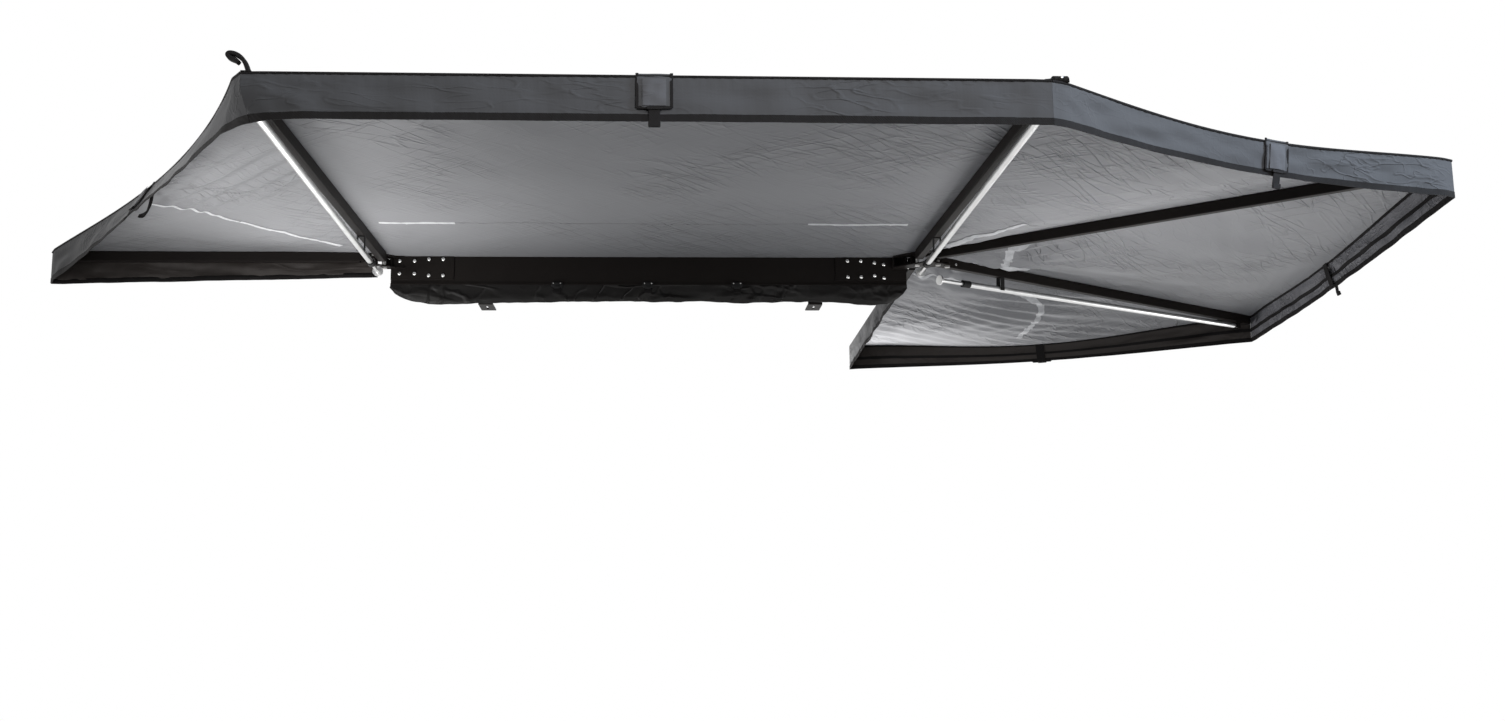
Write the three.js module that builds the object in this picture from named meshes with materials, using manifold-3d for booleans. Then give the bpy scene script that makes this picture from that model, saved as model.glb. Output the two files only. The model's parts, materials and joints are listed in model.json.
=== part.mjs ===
// Free-standing vehicle awning: a backing plate with two hinge brackets carries six arms that fan out
// and hold a canopy. Millimetres. +X runs to the rear of the vehicle, +Y towards it, +Z up.
// The origin is the middle of the plate's back face. Everything is drawn deployed.
import * as THREE from "three";
import { mergeVertices } from "three/addons/utils/BufferGeometryUtils.js";
import Module from "manifold-3d";

const wasm = await Module();
wasm.setup();

// Clearances
const fitGap = 0.3;
const clothGap = 0.8;
const cutOverrun = 2;

// Backing plate
const plateLength = 2500;
const plateHeight = 140;
const plateDepth = 25;
const plateWeb = 6;
const topRailHeight = 10;
const midRailHeight = 28;
const midRailSetback = 350;
const bottomRailHeight = 22;
const lipDepth = 9;
const lipHeight = 6;

// Arm profile
const armWidth = 36;
const armHeight = 48;
const armWall = 3;
const armCorner = 4;
const armPitch = 40;
const stackStart = 62;
const rootStart = 40;
const rootLength = 20;
const plugLength = 90;
const capThickness = 8;
const capPlug = 25;
const tipSetback = [34, 38, 18, 18, 18, 30];

// Hinge brackets
const bracketPlate = 6;
const flangeHeight = 115;
const frontFlangeLength = 300;
const rearFlangeLength = 350;
const pinRadius = 8;
const barrelRadius = 14;
const pinHeadRadius = 14;
const pinHeadHeight = 8;
const tongueWidth = 22;
const tongueHeight = 11.7;
const tongueLevels = 4;
const frontWebReach = 13;
const rearWebReach = 26;

// Bracket bolts: distances of the columns from the plate's end, and of the rows from its top edge
const boltRadius = 4;
const boltHeadRadius = 6.5;
const boltHeadHeight = 5;
const nutStripThickness = 4;
const nutStripMargin = 12;
const frontBoltColumns = [[42, 24, 86], [113, 24, 86], [181, 15, 95], [249, 15, 95]];
const rearBoltColumns = [[291, 19, 99], [225, 19, 99], [158, 28, 92], [112, 36, 104]];

// Arms: pivots, the angle of each arm from straight out, and its reach from pivot to canopy corner
const hingeBeyondEnd = 25;
const frontPivotStep = 45;
const thirdPivotStep = 45;
const fourthPivotStep = 100;
const fourthPivotDepth = 150;
const fifthPivotDepth = 110;
const fifthLineBeyondEnd = 35;
const rearHingeBeyondEnd = 35;
const armReach = [1490, 2440, 2365, 2325, 2355, 2310];
const armSwing = { second: 0.5, third: 50, fourth: 118.5 };
const fourthDroopHeight = 89;
const fifthDroopHeight = 60;

// Fold-down telescopic legs
const legSetback = 110;
const legDrop = 20.7;
const legSlope = 1.25;
const legRadius = 14;
const legBore = 11.5;
const legRodRadius = 9;
const legFootFromPivot = 67;
const legExposed = 140;
const legOverlap = 520;
const collarRadius = 18;
const collarLength = 45;
const footRadius = 24;
const footThickness = 8;
const headWidth = 16;
const headLength = 30;
const legPinRadius = 5;
const earThickness = 4.6;
const saddleThickness = 4;
const saddleLength = 50;
const clipFromTubeEnd = 205;
const clipLength = 24;
const clipWall = 3;

// Canopy and valances
const clothThickness = 3;
const valanceHeight = 148;
const valanceMidHeight = 125;
const sideHemHeight = 112;
const hubFlat = 200;
const apexShare = 0.04;
const edgeLevelShare = 0.024;
const hubCrowding = 1.6;
const wingRows = 8;
const wingColumns = 14;
const hemFold = 7;
const foldSpacing = 260;
const valanceColumns = 2 * wingColumns;
const sideHemColumns = 18;
const plateLap = 17;
const sideHemStart = 40;
const wingSag = 40;
const centreSag = 6;
const edgeBow = { front: 45, rear1: 58, rear2: 30, rear3: 50 };

// Webbing loop on the first centre corner
const loopWidth = 85;
const loopHeight = 71;
const loopThickness = 6;
const loopForward = 51;
const loopShares = [
  [0.66, 0], [1, 0], [0.86, 0.42], [0.74, 0.66], [0.44, 0.92], [0.1, 1], [0, 0.9], [0.06, 0.6],
  [0.24, 0.35], [0.44, 0.36], [0.6, 0.22],
];
const loopEyeShares = [[0.34, 0.7], [0.4, 0.74], [0.58, 0.53], [0.53, 0.48]];

// Storage bag, hanging open below the plate
const bagDepth = 30;
const bagDrop = 98;
const bagCornerRun = 190;
const bagEndDrop = 30;

// Rack brackets
const rackBracketInset = 450;
const rackBracketWidth = 70;
const rackBracketWall = 6;
const rackBracketDrop = 160;
const rackBracketReach = 150;
const rackSlotWidth = 11;
const rackSlotLength = 60;
const rackBoltSpacing = 36;
const rackBoltRadius = 4;
const rackBoltHead = 7;
const rackBoltHeadHeight = 5;
const rackWasher = 3;

const roundSides = 20;
const smallSides = 12;

const degrees = THREE.MathUtils.degToRad;
const plateTop = plateHeight / 2;
const plateEnd = plateLength / 2;
const rackBracketPlace = plateEnd - rackBracketInset;
const flangeFront = plateDepth + bracketPlate;
const roofUnderside = plateTop + clothGap;
const roofTop = roofUnderside + clothThickness;

const paint = (color, roughness, metalness = 0) =>
  new THREE.MeshStandardMaterial({ color, roughness, metalness });
const blackAlloy = paint("#1d1c1b", 0.5, 0.3);
const blackSteel = paint("#171615", 0.55, 0.3);
const brightSteel = paint("#c9c7c3", 0.3, 0.9);
const brightAlloy = paint("#d6d4d0", 0.3, 0.9);
const blackPlastic = paint("#161616", 0.6);
const silverCloth = paint("#8b8c8f", 0.7);
const greyCloth = paint("#55565a", 0.85);
const blackCover = paint("#201f1e", 0.7);

// Shapes
function box(x0, x1, y0, y1, z0, z1) {
  const shape = new THREE.BoxGeometry(x1 - x0, y1 - y0, z1 - z0);
  return shape.translate((x0 + x1) / 2, (y0 + y1) / 2, (z0 + z1) / 2);
}

function post(radius, x, y, z0, z1, sides = roundSides) {
  const shape = new THREE.CylinderGeometry(radius, radius, z1 - z0, sides);
  return shape.rotateX(Math.PI / 2).translate(x, y, (z0 + z1) / 2);
}

function rodAlongX(radius, x0, x1, sides = roundSides) {
  const shape = new THREE.CylinderGeometry(radius, radius, x1 - x0, sides);
  return shape.rotateZ(Math.PI / 2).translate((x0 + x1) / 2, 0, 0);
}

function rodAlongY(radius, y0, y1, x, z, sides = smallSides) {
  const shape = new THREE.CylinderGeometry(radius, radius, y1 - y0, sides);
  return shape.translate(x, (y0 + y1) / 2, z);
}

const outline = (points) => new THREE.Shape(points.map(([x, y]) => new THREE.Vector2(x, y)));

function slab(points, z0, z1) {
  const shape = new THREE.ExtrudeGeometry(outline(points), { depth: z1 - z0, bevelEnabled: false });
  return shape.translate(0, 0, z0);
}

// An outline in X and Z, pushed along Y
function uprightSlab(points, y0, y1) {
  const shape = new THREE.ExtrudeGeometry(outline(points), { depth: y1 - y0, bevelEnabled: false });
  return shape.rotateX(Math.PI / 2).translate(0, y1, 0);
}

// An outline in Y and Z, pushed along X
function lengthwise(shape, x0, x1) {
  const solid = new THREE.ExtrudeGeometry(shape, { depth: x1 - x0, bevelEnabled: false, curveSegments: 3 });
  return solid.rotateX(Math.PI / 2).rotateZ(Math.PI / 2).translate(x0, 0, 0);
}

function roundedRect(width, height, radius) {
  const shape = new THREE.Shape();
  const w = width / 2;
  shape.moveTo(-w + radius, -height);
  shape.lineTo(w - radius, -height);
  shape.absarc(w - radius, radius - height, radius, -Math.PI / 2, 0);
  shape.lineTo(w, -radius);
  shape.absarc(w - radius, -radius, radius, 0, Math.PI / 2);
  shape.lineTo(radius - w, 0);
  shape.absarc(radius - w, -radius, radius, Math.PI / 2, Math.PI);
  shape.lineTo(-w, radius - height);
  shape.absarc(radius - w, radius - height, radius, Math.PI, Math.PI * 1.5);
  return shape;
}

// Joining and cutting
function toSolid(geometry) {
  const bare = geometry.clone();
  bare.deleteAttribute("normal");
  bare.deleteAttribute("uv");
  const merged = mergeVertices(bare);
  return new wasm.Manifold(new wasm.Mesh({
    numProp: 3,
    vertProperties: new Float32Array(merged.attributes.position.array),
    triVerts: new Uint32Array(merged.index.array),
  }));
}

function toGeometry(solid) {
  const mesh = solid.getMesh();
  const geometry = new THREE.BufferGeometry();
  geometry.setAttribute("position", new THREE.BufferAttribute(mesh.vertProperties, 3));
  geometry.setIndex(new THREE.BufferAttribute(mesh.triVerts, 1));
  geometry.computeVertexNormals();
  return geometry;
}

const joined = (...shapes) => shapes.map(toSolid).reduce((sum, next) => sum.add(next));
const cut = (solid, ...tools) => tools.map(toSolid).reduce((rest, tool) => rest.subtract(tool), solid);

// A closed sheet between two surfaces, each given on a grid of rows and columns
function sheet(outer, inner, rows, columns) {
  const points = [];
  const faces = [];
  for (const surface of [outer, inner]) {
    for (let r = 0; r <= rows; r++) {
      for (let c = 0; c <= columns; c++) points.push(...surface(r / rows, c / columns).toArray());
    }
  }
  const far = (rows + 1) * (columns + 1);
  const at = (r, c) => r * (columns + 1) + c;
  const quad = (a, b, c, d) => faces.push(a, b, c, a, c, d);
  for (let r = 0; r < rows; r++) {
    for (let c = 0; c < columns; c++) {
      quad(at(r, c), at(r + 1, c), at(r + 1, c + 1), at(r, c + 1));
      quad(far + at(r, c), far + at(r, c + 1), far + at(r + 1, c + 1), far + at(r + 1, c));
    }
  }
  const rim = [];
  for (let c = 0; c < columns; c++) rim.push(at(0, c));
  for (let r = 0; r < rows; r++) rim.push(at(r, columns));
  for (let c = columns; c > 0; c--) rim.push(at(rows, c));
  for (let r = rows; r > 0; r--) rim.push(at(r, 0));
  rim.forEach((here, i) => {
    const next = rim[(i + 1) % rim.length];
    quad(here, next, far + next, far + here);
  });
  const geometry = new THREE.BufferGeometry();
  geometry.setAttribute("position", new THREE.BufferAttribute(new Float32Array(points), 3));
  geometry.setIndex(faces);
  const solid = toSolid(geometry);
  if (solid.volume() > 0) return toGeometry(solid);
  const flipped = [];
  for (let i = 0; i < faces.length; i += 3) flipped.push(faces[i], faces[i + 2], faces[i + 1]);
  geometry.setIndex(flipped);
  geometry.computeVertexNormals();
  return geometry;
}

const awning = new THREE.Group();

function piece(name, shape, material, parent = awning) {
  const geometry = shape.isBufferGeometry ? shape : toGeometry(shape);
  const mesh = new THREE.Mesh(geometry, material);
  mesh.name = name;
  parent.add(mesh);
  return mesh;
}

// Backing plate: a web with three rails behind it and a lip along the bottom
const plateBack = 0;
const webFront = -plateDepth;
const webBack = plateWeb - plateDepth;
const midRailTop = midRailHeight / 2;
const plateOutline = [
  [webFront, plateTop], [plateBack, plateTop], [plateBack, plateTop - topRailHeight],
  [webBack, plateTop - topRailHeight], [webBack, midRailTop], [plateBack, midRailTop],
  [plateBack, -midRailTop], [webBack, -midRailTop], [webBack, bottomRailHeight - plateTop],
  [plateBack, bottomRailHeight - plateTop], [plateBack, -plateTop], [webFront - lipDepth, -plateTop],
  [webFront - lipDepth, lipHeight - plateTop], [webFront, lipHeight - plateTop],
];

const boltPlaces = (columns, side) => columns.flatMap(([fromEnd, upper, lower]) => [
  [side * (plateEnd - fromEnd), plateTop - upper],
  [side * (plateEnd - fromEnd), plateTop - lower],
]);
const frontBolts = boltPlaces(frontBoltColumns, -1);
const rearBolts = boltPlaces(rearBoltColumns, 1);
const rackBolts = [-1, 1].map((side) => [-1, 1].map((half) =>
  side * rackBracketPlace + half * rackBoltSpacing / 2));
const rackBoltDepth = plateDepth - plateWeb - fitGap;

const boltHoles = (places, y0, y1) =>
  places.map(([x, z]) => rodAlongY(boltRadius + fitGap, y0, y1, x, z));
const railCuts = [-1, 1].map((side) => box(
  side > 0 ? plateEnd - midRailSetback : -plateEnd - cutOverrun,
  side > 0 ? plateEnd + cutOverrun : midRailSetback - plateEnd,
  webBack, cutOverrun, bottomRailHeight - plateTop, plateTop - topRailHeight));
const plateSolid = cut(
  toSolid(lengthwise(outline(plateOutline), -plateEnd, plateEnd)),
  ...railCuts,
  ...boltHoles([...frontBolts, ...rearBolts], webFront - cutOverrun, webBack + cutOverrun),
  ...rackBolts.flat().map((x) =>
    rodAlongY(rackBoltRadius + fitGap, -rackBoltDepth - fitGap, cutOverrun, x, 0)),
);
piece("backing_plate", plateSolid, blackAlloy);

// Bolts that hold a hinge bracket, run into one tapped plate behind the web
function bracketBolts(name, places) {
  const xs = places.map(([x]) => x);
  const zs = places.map(([, z]) => z);
  const stripFront = webBack + fitGap;
  const headBack = -flangeFront - fitGap;
  const rim = boltRadius;
  const shapes = [box(Math.min(...xs) - nutStripMargin, Math.max(...xs) + nutStripMargin,
    stripFront, stripFront + nutStripThickness, Math.min(...zs) - rim, Math.max(...zs) + rim)];
  for (const [x, z] of places) {
    shapes.push(rodAlongY(boltRadius, headBack - boltHeadHeight / 2, stripFront + rim / 2, x, z));
    shapes.push(rodAlongY(boltHeadRadius, headBack - boltHeadHeight, headBack, x, z));
  }
  piece(name, joined(...shapes), brightSteel);
}
bracketBolts("front_bracket_bolts", frontBolts);
bracketBolts("rear_bracket_bolts", rearBolts);

// Angle brackets that stand on the rack, each with a slot in its foot and two bolts into the plate
rackBolts.forEach((xs, i) => {
  const side = i ? 1 : -1;
  const middle = side * rackBracketPlace;
  const low = middle - rackBracketWidth / 2;
  const high = middle + rackBracketWidth / 2;
  const back = plateBack + fitGap;
  const outer = back + rackBracketWall;
  const slotMiddle = (outer + rackBracketReach) / 2;
  const slotHalf = (rackSlotLength - rackSlotWidth) / 2;
  const foot = -rackBracketDrop;
  const name = i ? "rear" : "front";
  const bracket = cut(
    joined(
      box(low, high, back, outer, foot, plateTop - topRailHeight),
      box(low, high, back, rackBracketReach, foot, foot + rackBracketWall),
    ),
    ...xs.map((x) => rodAlongY(rackBoltRadius + fitGap, back - cutOverrun, outer + cutOverrun, x, 0)),
    box(middle - rackSlotWidth / 2, middle + rackSlotWidth / 2, slotMiddle - slotHalf,
      slotMiddle + slotHalf, foot - cutOverrun, foot + rackBracketWall + cutOverrun),
    ...[-1, 1].map((end) => post(rackSlotWidth / 2, middle, slotMiddle + end * slotHalf,
      foot - cutOverrun, foot + rackBracketWall + cutOverrun, smallSides)),
  );
  piece(`rack_bracket_${name}`, bracket, blackSteel);
  const washerBack = outer + fitGap;
  const headBack = washerBack + rackWasher;
  const shapes = [box(xs[0] - rackBoltHead, xs[1] + rackBoltHead, washerBack, headBack,
    -rackBoltHead, rackBoltHead)];
  for (const x of xs) {
    shapes.push(rodAlongY(rackBoltRadius, -rackBoltDepth, headBack, x, 0));
    shapes.push(rodAlongY(rackBoltHead, headBack - rackWasher / 2, headBack + rackBoltHeadHeight, x, 0));
  }
  piece(`rack_bracket_bolts_${name}`, joined(...shapes), brightSteel);
});

// Arms: heading is the way an arm points, counted anticlockwise from +X, seen from above.
// An arm with an offset runs beside its pivot, on a cranked tongue, so that all lie side by side
// when folded.
const straightOut = 270;
const lineBeyondEnd = -(plateEnd + hingeBeyondEnd);
const stackPlace = (place) => -(stackStart + place * armPitch);
const rearHinge = plateEnd + rearHingeBeyondEnd;
const arms = [
  {
    pivot: [lineBeyondEnd - frontPivotStep, stackPlace(1)], heading: 180, offset: 0, level: 1, drop: 0,
  },
  {
    pivot: [lineBeyondEnd, stackPlace(0)], heading: straightOut, offset: 0, level: 0, drop: 0, leg: true,
  },
  {
    pivot: [rearHinge, stackPlace(2)], heading: straightOut + armSwing.second, offset: 0, level: 0,
    drop: 0, leg: true,
  },
  {
    pivot: [rearHinge + thirdPivotStep, stackPlace(3)], heading: straightOut + armSwing.third,
    offset: 0, level: 1, drop: 0,
  },
  {
    pivot: [rearHinge + fourthPivotStep, -fourthPivotDepth], heading: straightOut + armSwing.fourth,
    offset: -fourthPivotDepth - stackPlace(4), level: 2, drop: fourthDroopHeight, leg: true,
  },
  {
    pivot: [plateEnd + fifthLineBeyondEnd - fifthPivotDepth - stackPlace(5), -fifthPivotDepth],
    heading: straightOut + 180, offset: -fifthPivotDepth - stackPlace(5), level: 3, drop: fifthDroopHeight,
  },
];
const bodyStart = rootStart + rootLength;
const upperPlateBottom = plateTop - bracketPlate;
const levelTop = (level) => upperPlateBottom - fitGap - level * (tongueHeight + fitGap);
const lowerPlateTop = levelTop(tongueLevels);
const lowerPlateBottom = lowerPlateTop - bracketPlate;

// Corners of the canopy, over the arms' ends
const along = (heading) => new THREE.Vector2(Math.cos(degrees(heading)), Math.sin(degrees(heading)));
const leftOf = (direction) => new THREE.Vector2(-direction.y, direction.x);
arms.forEach((arm, i) => {
  const direction = along(arm.heading);
  const root = new THREE.Vector2(...arm.pivot).addScaledVector(leftOf(direction), arm.offset);
  const tip = root.clone().addScaledVector(direction, armReach[i]);
  Object.assign(arm, { index: i, direction, root, tip, reach: armReach[i] });
});

// Legs are all one length, that of the shortest arm with a leg
const shortestReach = Math.min(...arms.filter(({ leg }) => leg).map(({ reach }) => reach));
const legTubeLength = shortestReach - legSetback - legFootFromPivot - footThickness - legExposed
  - collarLength - fitGap;
const clipDistance = legTubeLength - clipFromTubeEnd;

// Hinge brackets: a flange on the plate and two plates that hold the pins from above and below
function hingeBracket(name, side, flangeLength, [upperEdge, lowerEdge], pins, webs) {
  const end = side * plateEnd;
  const inner = side * (plateEnd - flangeLength);
  const flange = box(Math.min(end, inner), Math.max(end, inner), -flangeFront, -plateDepth - fitGap,
    plateTop - flangeHeight, plateTop);
  const ribs = webs.map(([low, reach]) => box(low, low + bracketPlate,
    -flangeFront - reach, -flangeFront + fitGap, lowerPlateBottom + fitGap, plateTop - fitGap));
  const places = side < 0 ? frontBolts : rearBolts;
  const bracket = cut(
    joined(flange, ...ribs, slab(upperEdge, upperPlateBottom, plateTop),
      slab(lowerEdge, lowerPlateBottom, lowerPlateTop)),
    ...boltHoles(places, -flangeFront - cutOverrun, -plateDepth + cutOverrun),
    ...pins.map(({ pivot: [x, y] }) =>
      post(pinRadius + fitGap, x, y, lowerPlateBottom - cutOverrun, plateTop + cutOverrun)),
  );
  piece(name, bracket, blackSteel);
}

// Edges of the bracket plates, wide enough for each pin and clear of every arm, out and folded
const rim = pinRadius * 2;
const flangeBack = -flangeFront + bracketPlate / 2;
const innerEnd = plateEnd - 2 * barrelRadius - armPitch;
const [arm0, arm1, arm2, arm3, arm4, arm5] = arms;
const near = (arm, dx, dy) => [arm.pivot[0] + dx * rim, arm.pivot[1] + dy * rim];
const frontEdge = [
  [-innerEnd, flangeBack], [-innerEnd, flangeBack - rim / 2], near(arm1, 3.2, 1.2), near(arm1, 1, -0.9),
  near(arm0, 1, -0.5), near(arm0, 0.6, -1), near(arm0, -0.6, -1), near(arm0, -1, -0.4), near(arm0, -1, 0.5),
  near(arm1, -1, 1), [-plateEnd, flangeBack],
];
const rearEdge = (...outerPoints) => [
  [innerEnd, flangeBack], [innerEnd, stackPlace(0) - barrelRadius / 2], near(arm2, -2.6, 0.7),
  near(arm2, -0.8, -0.9), near(arm3, -0.7, -0.9), near(arm3, 0.7, -0.9), near(arm4, 0.4, -1.1),
  ...outerPoints, near(arm2, 0.9, 4.6), [plateEnd, near(arm2, 0, 5.2)[1]], [plateEnd, flangeBack],
];
const rearUpperEdge = rearEdge(near(arm4, 1.1, -0.5), near(arm4, 1.1, 0.6), near(arm4, 0.4, 1.5));
const rearLowerEdge = rearEdge(near(arm5, 0.9, -0.8), near(arm5, 0.9, 0.7), near(arm5, -0.7, 1));
hingeBracket("front_hinge_bracket", -1, frontFlangeLength, [frontEdge, frontEdge], [arm0, arm1],
  [[-plateEnd, frontWebReach]]);
hingeBracket("rear_hinge_bracket", 1, rearFlangeLength, [rearUpperEdge, rearLowerEdge],
  [arm2, arm3, arm4, arm5], [[innerEnd, rearWebReach], [plateEnd - bracketPlate, rearWebReach]]);

// The outermost pin stands in the lower plate only, so that its neighbour's crank can pass over it
arms.forEach(({ pivot: [x, y], index, level }) => {
  const headTop = lowerPlateBottom - fitGap;
  const pinTop = level < tongueLevels - 1 ? plateTop - fitGap : levelTop(level);
  const pin = joined(
    post(pinRadius, x, y, headTop - pinHeadHeight / 2, pinTop),
    post(pinHeadRadius, x, y, headTop - pinHeadHeight, headTop, 6),
  );
  piece(`hinge_pin_${index}`, pin, brightSteel);
});

// A flat bar between two points, seen from above
function flatBar([x0, y0], [x1, y1], width, z0, z1) {
  const length = Math.hypot(x1 - x0, y1 - y0);
  const bar = box(0, length, -width / 2, width / 2, z0, z1);
  return bar.rotateZ(Math.atan2(y1 - y0, x1 - x0)).translate(x0, y0, 0);
}

// Each arm is drawn along +X from its pivot, in a group of its own that tips down by the arm's droop
for (const arm of arms) {
  const { index, offset, level, reach, drop } = arm;
  const hinge = new THREE.Group();
  hinge.position.set(...arm.pivot, 0);
  hinge.rotation.z = degrees(arm.heading);
  awning.add(hinge);
  const tilt = Math.atan2(drop, reach);
  const beam = new THREE.Group();
  beam.position.set(0, offset, plateTop);
  beam.rotation.y = tilt;
  hinge.add(beam);

  const top = levelTop(level);
  const blockTop = levelTop(0);
  const blockBottom = Math.min(top - tongueHeight, levelTop(3) + fitGap);
  const innerHalf = armWidth / 2 - armWall - fitGap;
  const plug = box(bodyStart - 4 * fitGap, bodyStart + plugLength, -innerHalf, innerHalf,
    armWall + fitGap - armHeight, -armWall - fitGap - cutOverrun);
  const knuckle = cut(
    joined(
      post(barrelRadius, 0, 0, top - tongueHeight, top),
      flatBar([0, 0], [rootStart + rootLength / 3, offset], tongueWidth, top - tongueHeight, top),
      box(rootStart, bodyStart - fitGap, offset - armWidth / 2, offset + armWidth / 2,
        blockBottom, blockTop),
      plug.rotateY(tilt).translate(0, offset, plateTop),
    ),
    post(pinRadius + fitGap, 0, 0, top - tongueHeight - cutOverrun, top + cutOverrun),
  );
  piece(`knuckle_${index}`, knuckle, brightAlloy, hinge);

  const start = bodyStart + armHeight * Math.tan(tilt);
  const end = reach - tipSetback[index] - capThickness;
  const profile = roundedRect(armWidth, armHeight, armCorner);
  const hollow = box(start - cutOverrun, end + cutOverrun, armWall - armWidth / 2, armWidth / 2 - armWall,
    armWall - armHeight, -armWall);
  piece(`arm_${index}`, cut(toSolid(lengthwise(profile, start, end)), hollow), blackAlloy, beam);

  const cap = joined(
    lengthwise(roundedRect(armWidth, armHeight, armCorner), end + fitGap, end + capThickness),
    box(end - capPlug, end + capThickness / 2, -innerHalf, innerHalf, armWall + fitGap - armHeight,
      -armWall - fitGap),
  );
  piece(`arm_cap_${index}`, cap, blackPlastic, beam);
  if (arm.leg) addLeg(arm, beam);
}

// A leg: tube, telescopic rod with foot, twist collar, the saddle it hangs from and the clip that stows it
function addLeg({ index, reach }, beam) {
  const hingeAt = reach - legSetback;
  const under = -armHeight - fitGap;
  const axis = -armHeight - legDrop;
  const earInner = headWidth / 2 + fitGap;
  const earOuter = earInner + earThickness;
  const half = saddleLength / 2;
  const saddle = joined(
    box(hingeAt - half, hingeAt + half, -armWidth / 2, armWidth / 2, under - saddleThickness, under),
    ...[-1, 1].map((side) => box(hingeAt - legRadius, hingeAt + legRadius,
      side > 0 ? earInner : -earOuter, side > 0 ? earOuter : -earInner, axis - legRadius, under - fitGap)),
    rodAlongY(legPinRadius, -earOuter - fitGap, earOuter + fitGap, hingeAt, axis),
  );
  piece(`leg_saddle_${index}`, saddle, blackSteel, beam);

  const slope = degrees(legSlope);
  const clipAxis = axis - clipDistance * Math.sin(slope);
  const clipInner = legRadius + fitGap;
  const clipOuter = clipInner + clipWall;
  const clipAt = hingeAt - clipDistance * Math.cos(slope);
  const clipEnds = [clipAt - clipLength / 2, clipAt + clipLength / 2];
  const clip = joined(
    box(...clipEnds, -clipOuter, clipOuter, under - saddleThickness, under),
    ...[-1, 1].map((side) => box(...clipEnds, side > 0 ? clipInner : -clipOuter,
      side > 0 ? clipOuter : -clipInner, clipAxis - legRadius / 2, under - fitGap)),
  );
  piece(`leg_clip_${index}`, clip, blackPlastic, beam);

  const leg = new THREE.Group();
  leg.position.set(hingeAt, 0, axis);
  leg.rotation.y = Math.PI - slope;
  beam.add(leg);
  const tube = cut(
    joined(
      rodAlongX(legRadius, headLength, legTubeLength),
      box(-legPinRadius * 2, headLength + legRadius, -headWidth / 2, headWidth / 2,
        -headWidth / 2, headWidth / 2),
    ),
    rodAlongX(legBore, headLength + legRadius, legTubeLength + cutOverrun),
    rodAlongY(legPinRadius + fitGap, -headWidth, headWidth, 0, 0),
  );
  piece(`leg_tube_${index}`, tube, brightAlloy, leg);
  const collarEnd = legTubeLength + fitGap + collarLength;
  const collar = cut(
    toSolid(rodAlongX(collarRadius, legTubeLength + fitGap, collarEnd)),
    rodAlongX(legRodRadius + fitGap, legTubeLength - cutOverrun, collarEnd + cutOverrun),
  );
  piece(`leg_collar_${index}`, collar, blackPlastic, leg);
  const rodEnd = collarEnd + legExposed;
  const rod = joined(
    rodAlongX(legRodRadius, legTubeLength - legOverlap, rodEnd),
    rodAlongX(footRadius, rodEnd - fitGap, rodEnd + footThickness),
  );
  piece(`leg_rod_${index}`, rod, brightSteel, leg);
}

// Canopy: one centre panel and four wings, each between two arms
const plan = (v, z) => new THREE.Vector3(v.x, v.y, z);
const clothLine = armWidth / 2 + clothThickness;
const frontHub = new THREE.Vector2(arm1.pivot[0], arm0.pivot[1] + clothLine);
const frontCorner = new THREE.Vector2(arm0.tip.x, frontHub.y);
const rearHub = new THREE.Vector2(arm2.pivot[0], stackPlace(1) - barrelRadius);
const rearCorner = new THREE.Vector2(arm5.root.x - clothLine, arm5.tip.y);
const corners = [
  { at: frontCorner, drop: 0 }, { at: arm1.tip, drop: 0 }, { at: arm2.tip, drop: 0 },
  { at: arm3.tip, drop: 0 }, { at: arm4.tip, drop: fourthDroopHeight },
  { at: rearCorner, drop: fifthDroopHeight },
];

// The outer edge from one corner to the next, drawn in towards the hub in the middle.
// It is level over each arm's width, so that the cloth lies on the arm.
const ramp = (t) => THREE.MathUtils.clamp((t - edgeLevelShare) / (1 - 2 * edgeLevelShare), 0, 1);

function outerEdge(from, to, hub, bow) {
  const chord = to.at.clone().sub(from.at);
  const inward = leftOf(chord.clone().normalize());
  if (inward.dot(hub.clone().sub(from.at)) < 0) inward.negate();
  return {
    point: (t) => from.at.clone().addScaledVector(chord, t).addScaledVector(inward, 4 * bow * t * (1 - t)),
    drop: (t) => from.drop + (to.drop - from.drop) * ramp(t),
    outward: inward.clone().negate(),
    chord,
  };
}

// Flat cloth beside the arms and a shallow hollow between them
const hollow = (t) => Math.sin(Math.PI * t) ** 2;

// The columns of a wing: one strip over each arm, the rest evenly spread
function levelled(share) {
  const step = 1 / wingColumns;
  if (share <= step) return (share / step) * edgeLevelShare;
  if (share >= 1 - step) return 1 - ((1 - share) / step) * edgeLevelShare;
  return THREE.MathUtils.lerp(edgeLevelShare, 1 - edgeLevelShare, (share - step) / (1 - 2 * step));
}

function wing(name, edge, hub) {
  const away = edge.point(0.5).sub(hub).normalize();
  const sides = edge.point(0).sub(hub).normalize();
  const spread = fitGap / 2 / Math.sqrt(1 - sides.dot(away) ** 2);
  const shifted = hub.clone().addScaledVector(away, spread);
  const surface = (lift) => (r, c) => {
    const t = levelled(c);
    const s = apexShare + (1 - apexShare) * r ** hubCrowding;
    const spot = edge.point(t).sub(hub).multiplyScalar(s);
    const reach = spot.length();
    const full = edge.point(t).sub(hub).length();
    const slope = Math.max(0, reach - hubFlat) / (full - hubFlat);
    const sag = wingSag * hollow(ramp(t)) * s * s;
    return plan(spot.add(shifted), roofTop - lift - edge.drop(t) * slope - sag);
  };
  piece(name, sheet(surface(0), surface(clothThickness), wingRows, wingColumns), silverCloth);
}

const edges = {
  front: outerEdge(corners[1], corners[0], frontHub, edgeBow.front),
  centre: outerEdge(corners[1], corners[2], rearHub, 0),
  rear1: outerEdge(corners[2], corners[3], rearHub, edgeBow.rear1),
  rear2: outerEdge(corners[3], corners[4], rearHub, edgeBow.rear2),
  rear3: outerEdge(corners[4], corners[5], rearHub, edgeBow.rear3),
};
wing("canopy_front", edges.front, frontHub);
wing("canopy_rear_1", edges.rear1, rearHub);
wing("canopy_rear_2", edges.rear2, rearHub);
wing("canopy_rear_3", edges.rear3, rearHub);

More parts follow.
